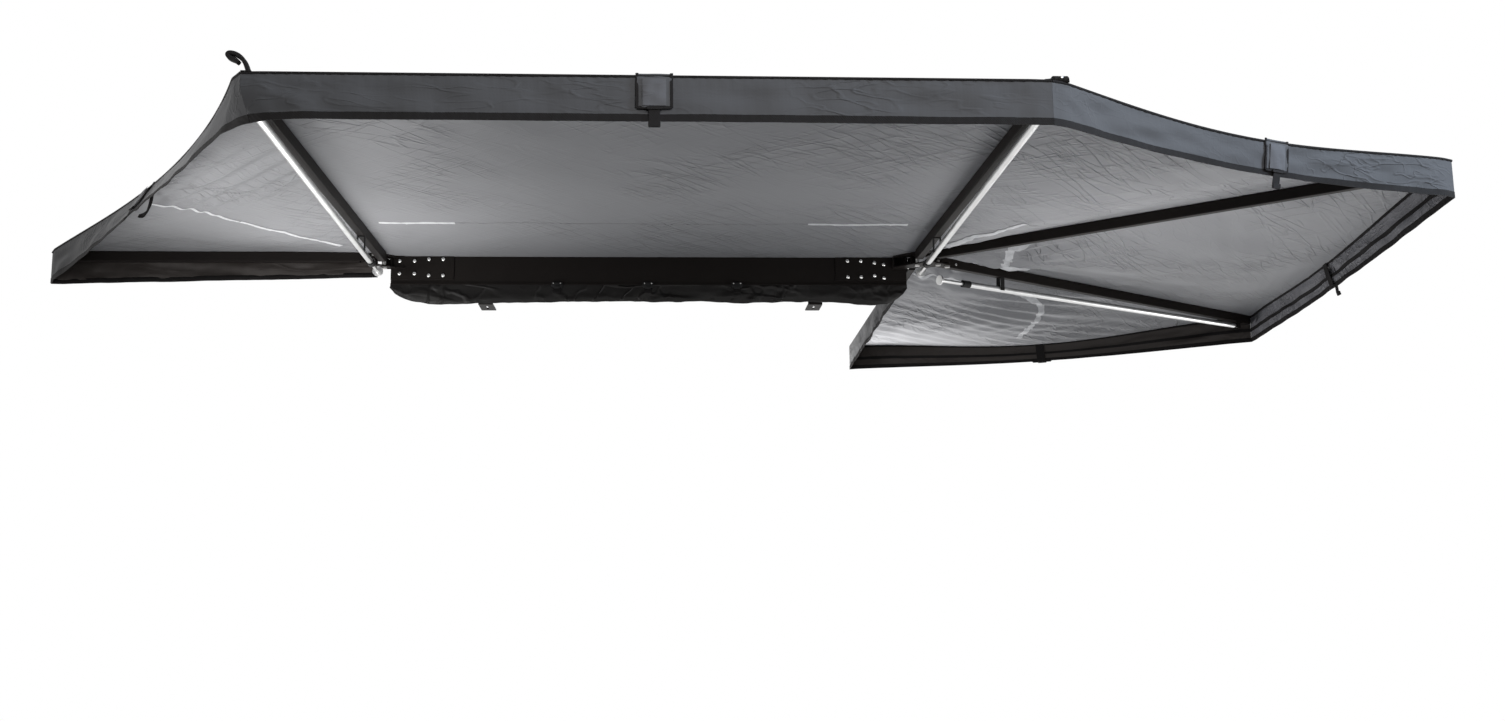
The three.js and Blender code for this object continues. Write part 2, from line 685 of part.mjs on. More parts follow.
const centreBack = plateLap - plateDepth;
const backOf = (hub, corner) =>
  hub.clone().lerp(corner, (centreBack - hub.y) / (corner.y - hub.y));
const centreBackEnds = [backOf(frontHub, arm1.tip), backOf(rearHub, arm2.tip)];
const centreSurface = (lift) => (r, t) => {
  const outer = edges.centre.point(t);
  const inner = centreBackEnds[0].clone().lerp(centreBackEnds[1], t);
  const spot = inner.lerp(outer, r);
  spot.x += (fitGap / 2) * (1 - 2 * t);
  return plan(spot, roofTop - lift - centreSag * hollow(t) * hollow(r));
};
piece("canopy_centre", sheet(centreSurface(0), centreSurface(clothThickness), 8, 14), silverCloth);

// Valances hang from the outer edges, with folds that deepen towards the hem
function valance(name, path, columns) {
  const folds = Math.round(path.length / foldSpacing);
  const surface = (side) => (r, c) => {
    const { spot, outward, height, drop } = path.at(c);
    const fold = hemFold * r * hollow(c * folds);
    const shift = 2 * fitGap + (side ? 0 : clothThickness) + fold;
    return plan(spot.clone().addScaledVector(outward, shift), roofTop - drop - height * r);
  };
  piece(name, sheet(surface(0), surface(1), 3, columns), greyCloth);
}

const edgePath = (edge, midHeight) => ({
  length: edge.chord.length(),
  at: (c) => {
    const inset = fitGap / edge.chord.length() / edgeLevelShare / wingColumns;
    const share = THREE.MathUtils.clamp(c, inset, 1 - inset);
    const column = Math.min(Math.floor(share * wingColumns), wingColumns - 1);
    const knots = [column, column + 1].map((i) => edge.point(levelled(i / wingColumns)));
    return {
      spot: knots[0].lerp(knots[1], share * wingColumns - column),
      outward: edge.outward,
      drop: edge.drop(levelled(share)),
      height: valanceHeight - (valanceHeight - midHeight) * hollow(share),
    };
  },
});

// The first and last valances turn the corner and run back along the outermost arm
function turnedPath(edge, end, sideEnd, sideOutward) {
  const back = sideEnd.clone().sub(end.at);
  const share = valanceColumns / (valanceColumns + sideHemColumns);
  const main = edgePath(edge, valanceMidHeight);
  const corner = edge.outward.clone().add(sideOutward).normalize();
  const reachOut = 1 / corner.dot(sideOutward);
  return {
    length: edge.chord.length() + back.length(),
    at: (c) => {
      if (c < share - Number.EPSILON) return main.at(c / share);
      const k = (c - share) / (1 - share);
      const spot = end.at.clone().addScaledVector(back, k);
      const outward = k === 0 ? corner.clone().multiplyScalar(reachOut) : sideOutward;
      const height = THREE.MathUtils.lerp(valanceHeight, sideHemHeight, k);
      return { spot, outward, drop: end.drop * (1 - k), height };
    },
  };
}

valance("valance_centre", edgePath(edges.centre, valanceHeight), valanceColumns);
valance("valance_rear_1", edgePath(edges.rear1, valanceMidHeight), valanceColumns);
valance("valance_rear_2", edgePath(edges.rear2, valanceMidHeight), valanceColumns);
const turnedColumns = valanceColumns + sideHemColumns;
const frontSideEnd = new THREE.Vector2(arm0.pivot[0] - barrelRadius * 1.5, frontHub.y);
valance("valance_front", turnedPath(edges.front, corners[0], frontSideEnd, new THREE.Vector2(0, 1)),
  turnedColumns);
const rearSideEnd = new THREE.Vector2(rearCorner.x, sideHemStart);
valance("valance_rear_3", turnedPath(edges.rear3, corners[5], rearSideEnd, new THREE.Vector2(-1, 0)),
  turnedColumns);

// The loop is sewn on the corner, stands up and curls over towards the front
const loopPoints = (shares) => shares.map(([x, z]) => [
  arm1.tip.x - loopForward + x * loopWidth, roofTop + fitGap + z * loopHeight,
]);
const loopBack = arm1.tip.y + clothThickness + loopThickness;
const loopFront = loopBack - loopThickness;
piece("corner_loop", cut(
  toSolid(uprightSlab(loopPoints(loopShares), loopFront, loopBack)),
  uprightSlab(loopPoints(loopEyeShares), loopFront - cutOverrun, loopBack + cutOverrun),
), blackCover);

// Storage bag: it hangs open from the plate's bottom lip, with its two ends drawn up
const bagTop = -plateTop - fitGap;
const bagOutline = [
  [-plateEnd, bagTop], [-plateEnd, bagTop - bagEndDrop], [-plateEnd + bagCornerRun / 3, bagTop - bagDrop / 2],
  [-plateEnd + bagCornerRun, bagTop - bagDrop], [plateEnd - bagCornerRun, bagTop - bagDrop],
  [plateEnd - bagCornerRun / 3, bagTop - bagDrop / 2], [plateEnd, bagTop - bagEndDrop], [plateEnd, bagTop],
];
const bagFront = -plateDepth - lipDepth;
piece("storage_bag", uprightSlab(bagOutline, bagFront, bagFront + bagDepth), blackCover);

export default awning;
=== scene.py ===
import json
import math

import bmesh
import bpy
import numpy as np
from mathutils import Matrix, Vector


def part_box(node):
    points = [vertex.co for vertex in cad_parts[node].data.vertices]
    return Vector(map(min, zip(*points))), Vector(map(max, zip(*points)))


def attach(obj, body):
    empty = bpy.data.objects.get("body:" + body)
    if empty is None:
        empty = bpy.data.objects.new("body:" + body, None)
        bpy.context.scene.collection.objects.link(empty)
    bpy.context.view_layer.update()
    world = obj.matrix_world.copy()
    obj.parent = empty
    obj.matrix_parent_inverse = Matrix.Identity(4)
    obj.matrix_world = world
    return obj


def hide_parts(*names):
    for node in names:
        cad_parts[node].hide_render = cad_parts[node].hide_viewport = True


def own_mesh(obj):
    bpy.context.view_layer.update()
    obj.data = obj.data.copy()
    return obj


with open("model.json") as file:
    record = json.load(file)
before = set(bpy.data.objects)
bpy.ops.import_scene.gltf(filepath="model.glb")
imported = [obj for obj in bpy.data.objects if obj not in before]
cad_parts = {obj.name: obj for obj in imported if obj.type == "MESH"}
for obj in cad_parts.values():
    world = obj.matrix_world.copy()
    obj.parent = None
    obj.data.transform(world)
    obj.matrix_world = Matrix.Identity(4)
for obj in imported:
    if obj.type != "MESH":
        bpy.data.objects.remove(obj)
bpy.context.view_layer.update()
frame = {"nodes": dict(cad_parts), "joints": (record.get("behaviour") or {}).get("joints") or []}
nodes = frame["nodes"]
joints = {joint["name"]: joint for joint in frame["joints"]}
print("frame loaded:", len(nodes), "parts")


# Small helpers for numbers and meshes

def meshPoints(part):
    return np.array([v.co for v in part.data.vertices], float)


def farthest(name, direction):
    points = meshPoints(nodes[name])
    reach = points @ np.array([*direction, 0.001])  # the little weight on z picks the upper face
    return points[reach.argmax()]


def smoothStep(value):
    value = np.clip(value, 0, 1)
    return value * value * (3 - 2 * value)


def hollow(share):  # 0 at both ends, 1 in the middle, level where it starts
    return np.sin(np.pi * np.clip(share, 0, 1)) ** 2


def softNoise(x, y, size, seed):  # gentle random heights, about -1 to 1, with bumps of the given size
    draws = np.random.default_rng(seed)
    total = np.zeros(np.broadcast(x, y).shape)
    waves = 9
    for _ in range(waves):
        heading = draws.uniform(0, 2 * math.pi)
        length = size * draws.uniform(0.8, 1.9)
        phase = draws.uniform(0, 2 * math.pi)
        along = x * math.cos(heading) + y * math.sin(heading)
        total = total + np.sin(along * 2 * math.pi / length + phase)
    return total / math.sqrt(waves)


def unit(v):
    return v / np.maximum(np.linalg.norm(v, axis=-1, keepdims=True), 1e-12)


def raised(plan, z):  # points in plan with their heights
    return np.concatenate([plan, z[..., None]], -1)


def distances(line):  # along a line, from its start to each of its points
    return np.concatenate([[0], np.cumsum(np.linalg.norm(np.diff(line, axis=0), axis=1))])


def addMesh(name, points, faces, materials, faceMaterials=None, uv=None, sharpAngle=50):
    mesh = bpy.data.meshes.new(name)
    mesh.from_pydata([tuple(p) for p in points], [], [tuple(f) for f in faces])
    for material in materials:
        mesh.materials.append(material)
    if faceMaterials is not None:
        mesh.polygons.foreach_set("material_index", np.asarray(faceMaterials, np.int32))
    if uv is not None:
        layer = mesh.uv_layers.new(name="cloth")
        loopVerts = np.zeros(len(mesh.loops), np.int32)
        mesh.loops.foreach_get("vertex_index", loopVerts)
        layer.data.foreach_set("uv", np.asarray(uv, np.float32)[loopVerts].ravel())
    mesh.update()
    mesh.shade_smooth()
    mesh.set_sharp_from_angle(angle=math.radians(sharpAngle))
    piece = bpy.data.objects.new(name, mesh)
    bpy.context.scene.collection.objects.link(piece)
    return piece


# Points and faces of a closed thin sheet between two grids of the same shape: outer, inner, then rim
def closedSheet(outer, inner):
    rows, columns = outer.shape[:2]
    index = np.arange(rows * columns).reshape(rows, columns)
    a, b, c, d = index[:-1, :-1], index[1:, :-1], index[1:, 1:], index[:-1, 1:]
    front = np.stack([a, b, c, d], -1).reshape(-1, 4)
    back = front[:, ::-1] + rows * columns
    loop = np.concatenate([index[0, :-1], index[:-1, -1], index[-1, :0:-1], index[:0:-1, 0]])
    after = np.roll(loop, -1)
    rim = np.stack([loop, after, after + rows * columns, loop + rows * columns], -1)
    faces = np.concatenate([front, back, rim])
    volumeSign = np.sum((outer - inner) * np.cross(np.gradient(outer, axis=0), np.gradient(outer, axis=1)))
    if volumeSign < 0:
        faces = faces[:, ::-1]
    return np.concatenate([outer.reshape(-1, 3), inner.reshape(-1, 3)]), [tuple(face) for face in faces]


def clothPiece(name, outer, inner, materials):
    points, faces = closedSheet(outer, inner)
    across = np.cumsum(np.linalg.norm(np.diff(outer, axis=1, prepend=outer[:, :1]), axis=2), axis=1)
    down = np.cumsum(np.linalg.norm(np.diff(outer, axis=0, prepend=outer[:1]), axis=2), axis=0)
    uv = np.stack([across, down], -1).reshape(-1, 2)
    cells = (outer.shape[0] - 1) * (outer.shape[1] - 1)
    kinds = [0] * cells + [1 % len(materials)] * cells + [0] * (len(faces) - 2 * cells)
    return addMesh(name, points, faces, materials, kinds, np.concatenate([uv, uv]))


def ringFaces(rings, sides):  # a tube of rings, with its two flat ends
    faces = []
    for i in range(0, (rings - 1) * sides, sides):
        for j in range(sides):
            k = (j + 1) % sides
            faces.append((i + j, i + k, i + sides + k, i + sides + j))
    return faces + [tuple(range(sides))[::-1], tuple(range((rings - 1) * sides, rings * sides))]


def facingOut(points, faces):  # turns all faces over if they look inward
    volume = sum(np.dot(points[face[0]], np.cross(points[face[i]], points[face[i + 1]]))
                 for face in faces for i in range(1, len(face) - 1))
    return points, [face[::-1] for face in faces] if volume < 0 else faces


# A closed profile swept along a path, with flat ends
def sweptMesh(path, across, up, profile):
    path, across, up, profile = (np.asarray(v, float) for v in (path, across, up, profile))
    across, up = np.broadcast_to(across, path.shape), np.broadcast_to(up, path.shape)
    points = path[:, None] + across[:, None] * profile[None, :, :1] + up[:, None] * profile[None, :, 1:]
    return facingOut(points.reshape(-1, 3), ringFaces(*points.shape[:2]))


def roundProfile(radius, sides):
    turn = np.arange(sides) * 2 * math.pi / sides
    return np.stack([np.cos(turn) * radius, np.sin(turn) * radius], -1)


def stripProfile(width, thickness, corner=0.3):  # a flat strip with its edges rounded off a little
    w, h = width / 2, thickness / 2
    c = h * corner * 2
    return [(-w, c - h), (c - w, -h), (w - c, -h), (w, c - h),
            (w, h - c), (w - c, h), (c - w, h), (-w, h - c)]


def roundedBox(size, place, radius):
    form = bmesh.new()
    bmesh.ops.create_cube(form, size=1)
    bmesh.ops.scale(form, vec=size, verts=form.verts)
    bmesh.ops.bevel(form, geom=form.edges[:], offset=radius, segments=2, profile=0.5,
                    affect="EDGES", clamp_overlap=True)
    form.verts.index_update()
    points = np.array([v.co for v in form.verts], float)
    faces = [tuple(v.index for v in face.verts) for face in form.faces]
    form.free()
    return points + np.array(place), faces


def roundStud(radius, height, place, axis, sides=16):  # a domed rivet or bolt head that looks along axis
    axis = unit(np.array(axis, float))
    side = unit(np.cross(axis, [0.3, 0.2, 0.9]))  # any direction that no stud looks along
    turn = np.arange(sides) * 2 * math.pi / sides
    circle = np.cos(turn)[:, None] * side + np.sin(turn)[:, None] * np.cross(axis, side)
    dome = [(1.0, 0.0), (1.0, 0.45), (0.85, 0.8), (0.5, 0.96), (0.12, 1.0)]  # shares of radius and height
    points = np.concatenate([np.array(place) + circle * radius * r + axis * height * h for r, h in dome])
    return facingOut(points, ringFaces(len(dome), sides))


# Several shapes as one piece, each with the number of its material
def joinedPiece(name, shapes, materials):
    points, faces, kinds = [], [], []
    count = 0
    for (shapePoints, shapeFaces), kind in shapes:
        points.append(shapePoints)
        faces += [tuple(i + count for i in face) for face in shapeFaces]
        kinds += [kind] * len(shapeFaces)
        count += len(shapePoints)
    return addMesh(name, np.concatenate(points), faces, materials, kinds, sharpAngle=40)


# Materials

def linear(hexColour):
    parts = [int(hexColour[i:i + 2], 16) / 255 for i in (1, 3, 5)]
    return [c / 12.92 if c <= 0.04045 else ((c + 0.055) / 1.055) ** 2.4 for c in parts] + [1.0]


def addNode(tree, kind, settings={}, inputs={}):  # a node with its settings, values and links
    made = tree.nodes.new("ShaderNode" + kind)
    for name, value in settings.items():
        setattr(made, name, value)
    for key, value in inputs.items():
        if isinstance(value, bpy.types.Node):
            value = value.outputs[0]
        if isinstance(value, bpy.types.NodeSocket):
            tree.links.new(value, made.inputs[key])
        else:
            made.inputs[key].default_value = value
    return made


shaderSockets = {"colour": "Base Color", "gloss": "Roughness", "metallic": "Metallic",
                 "specular": "Specular IOR Level", "sheen": "Sheen Weight",
                 "sheenRoughness": "Sheen Roughness"}


def newMaterial(name, looks):
    material = bpy.data.materials.new(name)
    material.use_nodes = True
    shader = material.node_tree.nodes["Principled BSDF"]
    for key, socket in shaderSockets.items():
        if key in looks:
            shader.inputs[socket].default_value = looks[key]
    return material, material.node_tree, shader


# Colour and roughness drift between two values over patches of a size in metres; some have rub marks too
def mottle(tree, shader, place, looks):
    noise = addNode(tree, "TexNoise", {}, {"Vector": place, "Scale": 1 / looks["patch"], "Detail": 4.0})
    colour = addNode(tree, "Mix", {"data_type": "RGBA"},
                     {0: noise.outputs["Fac"], 6: linear(looks["low"]), 7: linear(looks["high"])})
    gloss = addNode(tree, "MapRange", {},
                    {0: noise.outputs["Fac"], 3: looks["roughness"][0], 4: looks["roughness"][1]})
    if "rubColour" in looks:
        rubs = addNode(tree, "TexNoise", {},
                       {"Vector": place, "Scale": 1 / looks["rubPatch"], "Detail": 8.0, "Roughness": 0.7})
        worn = addNode(tree, "MapRange", {}, {0: rubs.outputs["Fac"], 1: 0.66, 2: 0.8, 4: 0.5})
        colour = addNode(tree, "Mix", {"data_type": "RGBA"},
                         {0: worn, 6: colour.outputs[2], 7: linear(looks["rubColour"])})
    tree.links.new(colour.outputs[2], shader.inputs["Base Color"])
    tree.links.new(gloss.outputs[0], shader.inputs["Roughness"])


# Creases left from folding: long thin lines in two or three directions that come and go, and soft crumple
def creaseHeight(tree, place, looks):
    patches = addNode(tree, "TexNoise", {}, {"Vector": place, "Scale": 1 / looks["patchSize"]})
    amount = addNode(tree, "MapRange", {"interpolation_type": "SMOOTHSTEP"},
                     {0: patches.outputs["Fac"], 1: 0.4, 2: 0.64, 3: 0.12, 4: 1.0})
    drift = addNode(tree, "TexNoise", {}, {"Vector": place, "Scale": 2.0, "Detail": 1.0})
    bent = addNode(tree, "VectorMath", {"operation": "MULTIPLY_ADD"},
                   {0: drift.outputs["Color"], 1: [looks["bend"]] * 3, 2: place})
    total = None
    for turn in looks["turns"]:
        laid = addNode(tree, "Mapping", {"vector_type": "TEXTURE"},
                       {"Vector": bent, "Rotation": (0, 0, math.radians(turn)),
                        "Scale": (looks["stretch"], 1, 1)})
        noise = addNode(tree, "TexNoise", {},
                        {"Vector": laid, "Scale": 1 / looks["creaseSpacing"], "Detail": 1.5}).outputs["Fac"]
        level = addNode(tree, "Math", {"operation": "SUBTRACT"}, {0: noise, 1: 0.5})
        away = addNode(tree, "Math", {"operation": "ABSOLUTE"}, {0: level})
        line = addNode(tree, "MapRange", {"interpolation_type": "SMOOTHSTEP"},
                       {0: away, 1: 0.0, 2: looks["creaseWidth"], 3: 1.0, 4: 0.0})
        crumple = addNode(tree, "Math", {"operation": "MULTIPLY_ADD"},
                          {0: noise, 1: looks["crumple"], 2: line})
        total = addNode(tree, "Math", {"operation": "ADD"}, {0: total, 1: crumple}) if total else crumple
    return addNode(tree, "Math", {"operation": "MULTIPLY"}, {0: total, 1: amount})


waveBand = 0.314  # a wave texture of scale 1 has bands this far apart


# Plain weave as two crossing waves over the cloth's own lengthwise and crosswise distances
def weaveHeight(tree, looks):
    flat = addNode(tree, "UVMap", {"uv_map": "cloth"})
    ways = [addNode(tree, "TexWave", {"bands_direction": direction},
                    {"Vector": flat, "Scale": waveBand / looks["weavePitch"], "Distortion": 0.6,
                     "Detail": 1.0}).outputs["Fac"] for direction in ("X", "Y")]
    both = addNode(tree, "Math", {"operation": "MULTIPLY"}, {0: ways[0], 1: ways[1]})
    return addNode(tree, "Math", {"operation": "MULTIPLY"}, {0: both, 1: looks["weaveShare"]})


def addBump(tree, shader, height, looks):
    bump = addNode(tree, "Bump", {}, {"Height": height, "Distance": looks["depth"],
                                      "Strength": looks.get("strength", 1.0)})
    tree.links.new(bump.outputs[0], shader.inputs["Normal"])


def creasedCloth(name, looks):
    material, tree, shader = newMaterial(name, looks)
    place = addNode(tree, "TexCoord").outputs["Object"]
    mottle(tree, shader, place, looks)
    height = creaseHeight(tree, place, looks)
    if "weavePitch" in looks:
        height = addNode(tree, "Math", {"operation": "ADD"}, {0: height, 1: weaveHeight(tree, looks)})
    addBump(tree, shader, height, looks)
    return material


def grainedFinish(name, looks):  # one fine texture stands a little proud of the surface
    material, tree, shader = newMaterial(name, looks)
    place = addNode(tree, "TexCoord").outputs["Object"]
    mottle(tree, shader, place, looks)
    scale = (waveBand if looks["texture"] == "Wave" else 1) / looks["grain"]
    grain = addNode(tree, "Tex" + looks["texture"], looks.get("settings", {}),
                    {"Vector": place, "Scale": scale, **looks.get("values", {})})
    addBump(tree, shader, grain.outputs["Distance" if looks["texture"] == "Voronoi" else "Fac"], looks)
    return material


# Polyester canopy cloth with a silver-pigmented polyurethane coat inside: satin, a little metallic,
# it catches light in broad soft patches and shows every fold line
silverCloth = creasedCloth("silverCoatedPolyester", {
    "low": "#949496", "high": "#a2a2a4", "patch": 0.9, "roughness": (0.42, 0.55), "metallic": 0.03,
    "specular": 0.06, "bend": 0.03, "turns": (32, 52, -38), "stretch": 11.0, "creaseSpacing": 0.07,
    "creaseWidth": 0.03, "crumple": 1.4, "patchSize": 0.7, "depth": 0.0045,
    "weavePitch": 0.006, "weaveShare": 0.04,  # real threads stand 0.4 mm apart, too fine to show
})

# Charcoal ripstop polyester, the weather side and the valances: matt, with a faint grid of thicker threads
ripstopLooks = {
    "low": "#444445", "high": "#4d4d4f", "patch": 0.6, "roughness": (0.55, 0.68), "specular": 0.07,
    "sheen": 0.08, "sheenRoughness": 0.5, "bend": 0.08, "turns": (8, -12), "stretch": 6.0,
    "creaseSpacing": 0.05, "creaseWidth": 0.05, "crumple": 1.5, "patchSize": 0.5, "depth": 0.0018,
    "weavePitch": 0.012, "weaveShare": 0.05,  # real ripstop squares are 5 mm, drawn coarser so that they show
}
outerCloth = creasedCloth("charcoalRipstopPolyester", ripstopLooks)

# Its polyurethane-coated inner face on the valances: finely crushed, so it glints in small spots
hemInnerCloth = creasedCloth("charcoalRipstopInnerFace", {
    **ripstopLooks, "low": "#434246", "high": "#77777c", "depth": 0.006, "turns": (75, 20), "stretch": 3.0,
    "creaseSpacing": 0.035, "patch": 0.05, "specular": 0.35, "roughness": (0.35, 0.5)})

# The same cloth with a black coat, inside the hems along the first and last arms: dark, with a soft gloss
darkHemCloth = creasedCloth("blackCoatedHemFace", {
    **ripstopLooks, "low": "#2b2725", "high": "#37322f", "depth": 0.0016, "creaseSpacing": 0.12, "patch": 0.5,
    "specular": 0.22, "roughness": (0.45, 0.6)})

# Grey polyester of the tabs' panels: a shade paler than the cloth around it, so they stand out softly
tabCloth = creasedCloth("greyTabPolyester", {**ripstopLooks, "low": "#4e4e50", "high": "#5c5c5f"})

# Vinyl-coated bag cloth: black and glossier than the canopy, so its creases show as thin highlights
bagCloth = creasedCloth("vinylCoatedBagCloth", {
    "low": "#100f0e", "high": "#181615", "patch": 0.3, "roughness": (0.36, 0.5), "specular": 0.2,
    "bend": 0.1, "turns": (6, 80), "stretch": 4.0, "creaseSpacing": 0.12, "creaseWidth": 0.05,
    "crumple": 1.6, "patchSize": 0.4, "depth": 0.0042})

# Woven polyester webbing and edge binding: near black, dull, ribbed; real ribs are 1 mm apart, drawn coarser
webbing = grainedFinish("blackPolyesterWebbing", {
    "low": "#121111", "high": "#1c1a1a", "patch": 0.05, "roughness": (0.68, 0.82), "specular": 0.12,
    "texture": "Wave", "settings": {"bands_direction": "DIAGONAL"}, "values": {"Distortion": 1.0},
    "grain": 0.004, "depth": 0.0008, "strength": 0.6})

# Heat-sealed seam tape: a thin translucent film, pale and glossier than the cloth, slightly puckered
tapeLooks = {"low": "#cfd0d2", "high": "#f4f4f5", "patch": 0.03, "roughness": (0.25, 0.5),
             "texture": "Noise", "values": {"Detail": 3.0}, "grain": 0.02, "depth": 0.002}
sealTape = grainedFinish("heatSealedTape", tapeLooks)

# The same film on the rear wings, greyer and less even: painted shade for their dimmer light, with dust and
# wear
dustAndShadeTape = grainedFinish("heatSealedTapeDustAndShade", {**tapeLooks, "low": "#9c9d9f", "high": "#e6e6e8"})

# Powder-coated aluminium and steel: satin black with orange peel, about 1 mm in the real coat and drawn
# coarser, and a few paler rub marks
powderCoat = grainedFinish("blackPowderCoat", {
    "low": "#1e1b1a", "high": "#262321", "patch": 0.4, "roughness": (0.38, 0.52), "specular": 0.05,
    "rubColour": "#2b2927", "rubPatch": 0.09,
    "texture": "Noise", "values": {"Detail": 1.0}, "grain": 0.004, "depth": 0.0003, "strength": 0.5})

# Clear-anodised aluminium, drawn tube: bright, with faint lines; real ones are 0.1 mm apart, drawn coarser
anodised = grainedFinish("clearAnodisedAluminium", {
    "low": "#c9c9c8", "high": "#e9e9e8", "patch": 0.06, "roughness": (0.24, 0.38), "metallic": 1.0,
    "texture": "Wave", "settings": {"bands_direction": "Z"}, "values": {"Distortion": 2.0},
    "grain": 0.003, "depth": 0.0002, "strength": 0.4})

# Zinc-plated steel, bolts and pins: a cooler grey with cloudy spots of 20 mm and less
zinc = grainedFinish("zincPlatedSteel", {
    "low": "#a9a8a6", "high": "#d4d3d0", "patch": 0.02, "roughness": (0.3, 0.45), "metallic": 1.0,
    "texture": "Noise", "grain": 0.002, "depth": 0.0002, "strength": 0.3})

# Glass-filled nylon mouldings, caps, collars, clips and buckles: matt black with a spark texture, drawn
# coarser than its real 0.2 mm
nylon = grainedFinish("mouldedBlackNylon", {
    "low": "#131313", "high": "#1c1c1c", "patch": 0.05, "roughness": (0.5, 0.62), "specular": 0.2,
    "texture": "Voronoi", "grain": 0.002, "depth": 0.0003, "strength": 0.5})

# Polished stainless steel: domed heads, the brightest points on the black frame
stainless = grainedFinish("polishedStainlessSteel", {
    "low": "#e4e4e2", "high": "#f4f4f2", "patch": 0.01, "roughness": (0.16, 0.28), "metallic": 1.0,
    "texture": "Noise", "grain": 0.002, "depth": 0.0001, "strength": 0.3})
print("materials made")

# Every part from the frame gets the finish of the longest name that it starts with; none of them moves
finishOf = {
    "arm_": powderCoat, "arm_cap": nylon, "backing_plate": powderCoat, "front_bracket_bolts": zinc,
    "front_hinge_bracket": powderCoat, "hinge_pin": zinc, "knuckle": powderCoat, "leg_clip": nylon,
    "leg_collar": nylon, "leg_rod": anodised, "leg_saddle": powderCoat, "leg_tube": anodised,
    "rack_bracket": powderCoat, "rack_bracket_bolts": zinc, "rear_bracket_bolts": zinc,
    "rear_hinge_bracket": powderCoat,
}
for name, part in nodes.items():
    matches = [key for key in finishOf if name.startswith(key)]
    for slot in part.material_slots if matches else []:
        slot.material = finishOf[max(matches, key=len)]

# Arms: each one's middle, heading and body, read from the frame
armHalf = 0.018  # half an arm's width
armNames = ["first", "second", "third", "fourth", "fifth", "sixth"]


def readArm(index):
    points = meshPoints(nodes[f"arm_{index}"])
    middle = points.mean(0)
    direction = np.linalg.svd(points - middle, full_matrices=False)[2][0]
    name = armNames[index] + "_arm"
    pivot = np.array(joints[name + "_hinge"]["pos_m"])
    if direction @ (middle - pivot) < 0:
        direction = -direction
    heading = unit(direction * [1, 1, 0])
    return {"middle": middle, "heading": heading, "left": np.array([-heading[1], heading[0], 0]),
            "body": name, "hinge": name + "_hinge", "pivot": pivot}


arms = [readArm(index) for index in range(6)]


def gather(piece, armIndex):
    arm = arms[armIndex]
    side = np.sign(((meshPoints(piece) - arm["middle"]) @ arm["left"]).mean())
    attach(piece, arm["body"])
    tuple(arm["left"])
    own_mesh(piece)


# Canopy: corners, hubs and edges
canopy = {
    "thickness": 0.0012, "aboveArm": 0.0008, "rearHubY": -0.116, "hubFlat": 0.2, "apexShare": 0.03,
    "edgeLevelShare": 0.024, "sag": 0.04, "centreSag": 0.006, "step": 0.0135, "crowding": 1.2,
}
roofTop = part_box("arm_1")[1].z + canopy["aboveArm"] + canopy["thickness"]
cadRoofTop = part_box("canopy_centre")[1].z
corners = [farthest("canopy_front", (-1, 0)), farthest("canopy_centre", (-1, -3)),
           farthest("canopy_centre", (1, -3)), farthest("canopy_rear_1", (1, 0)),
           farthest("canopy_rear_2", (1, 0.3)), farthest("canopy_rear_3", (0, 1))]
frontHub = np.array([arms[1]["pivot"][0], corners[0][1]])
rearHub = np.array([arms[2]["pivot"][0], canopy["rearHubY"]])


def makeEdge(name, start, end, hub, looks):
    a, b = corners[start][:2], corners[end][:2]
    chord = b - a
    inward = np.array([-chord[1], chord[0]]) / np.linalg.norm(chord)
    if inward @ (hub - a) < 0:
        inward = -inward
    return {"name": name, "arms": (start, end), "start": a, "chord": chord, "length": np.linalg.norm(chord),
            "inward": inward, "hub": hub, "looks": looks,
            "drops": (cadRoofTop - corners[start][2], cadRoofTop - corners[end][2])}


def levelRamp(t):  # the edge is level over each arm's width
    flat = canopy["edgeLevelShare"]
    return np.clip((t - flat) / (1 - 2 * flat), 0, 1)


def edgePlan(edge, t, line="top"):  # the top line and the hem each bow inward by their own depth
    bow, skew = edge["looks"][line]
    ramp = levelRamp(np.asarray(t, float))[..., None]
    along = np.asarray(t, float)[..., None]
    shape = 4 * ramp * (1 - ramp) * (1 + skew * (1 - 2 * ramp))
    return edge["start"] + edge["chord"] * along + edge["inward"] * bow * shape


def straightDrop(edge, t):  # how far a straight line from corner to corner lies below the roof's top
    low, high = edge["drops"]
    return low + (high - low) * levelRamp(t)


def edgeDrop(edge, t):
    return straightDrop(edge, t) + edge["looks"]["sag"] * hollow(levelRamp(t)) ** 0.8


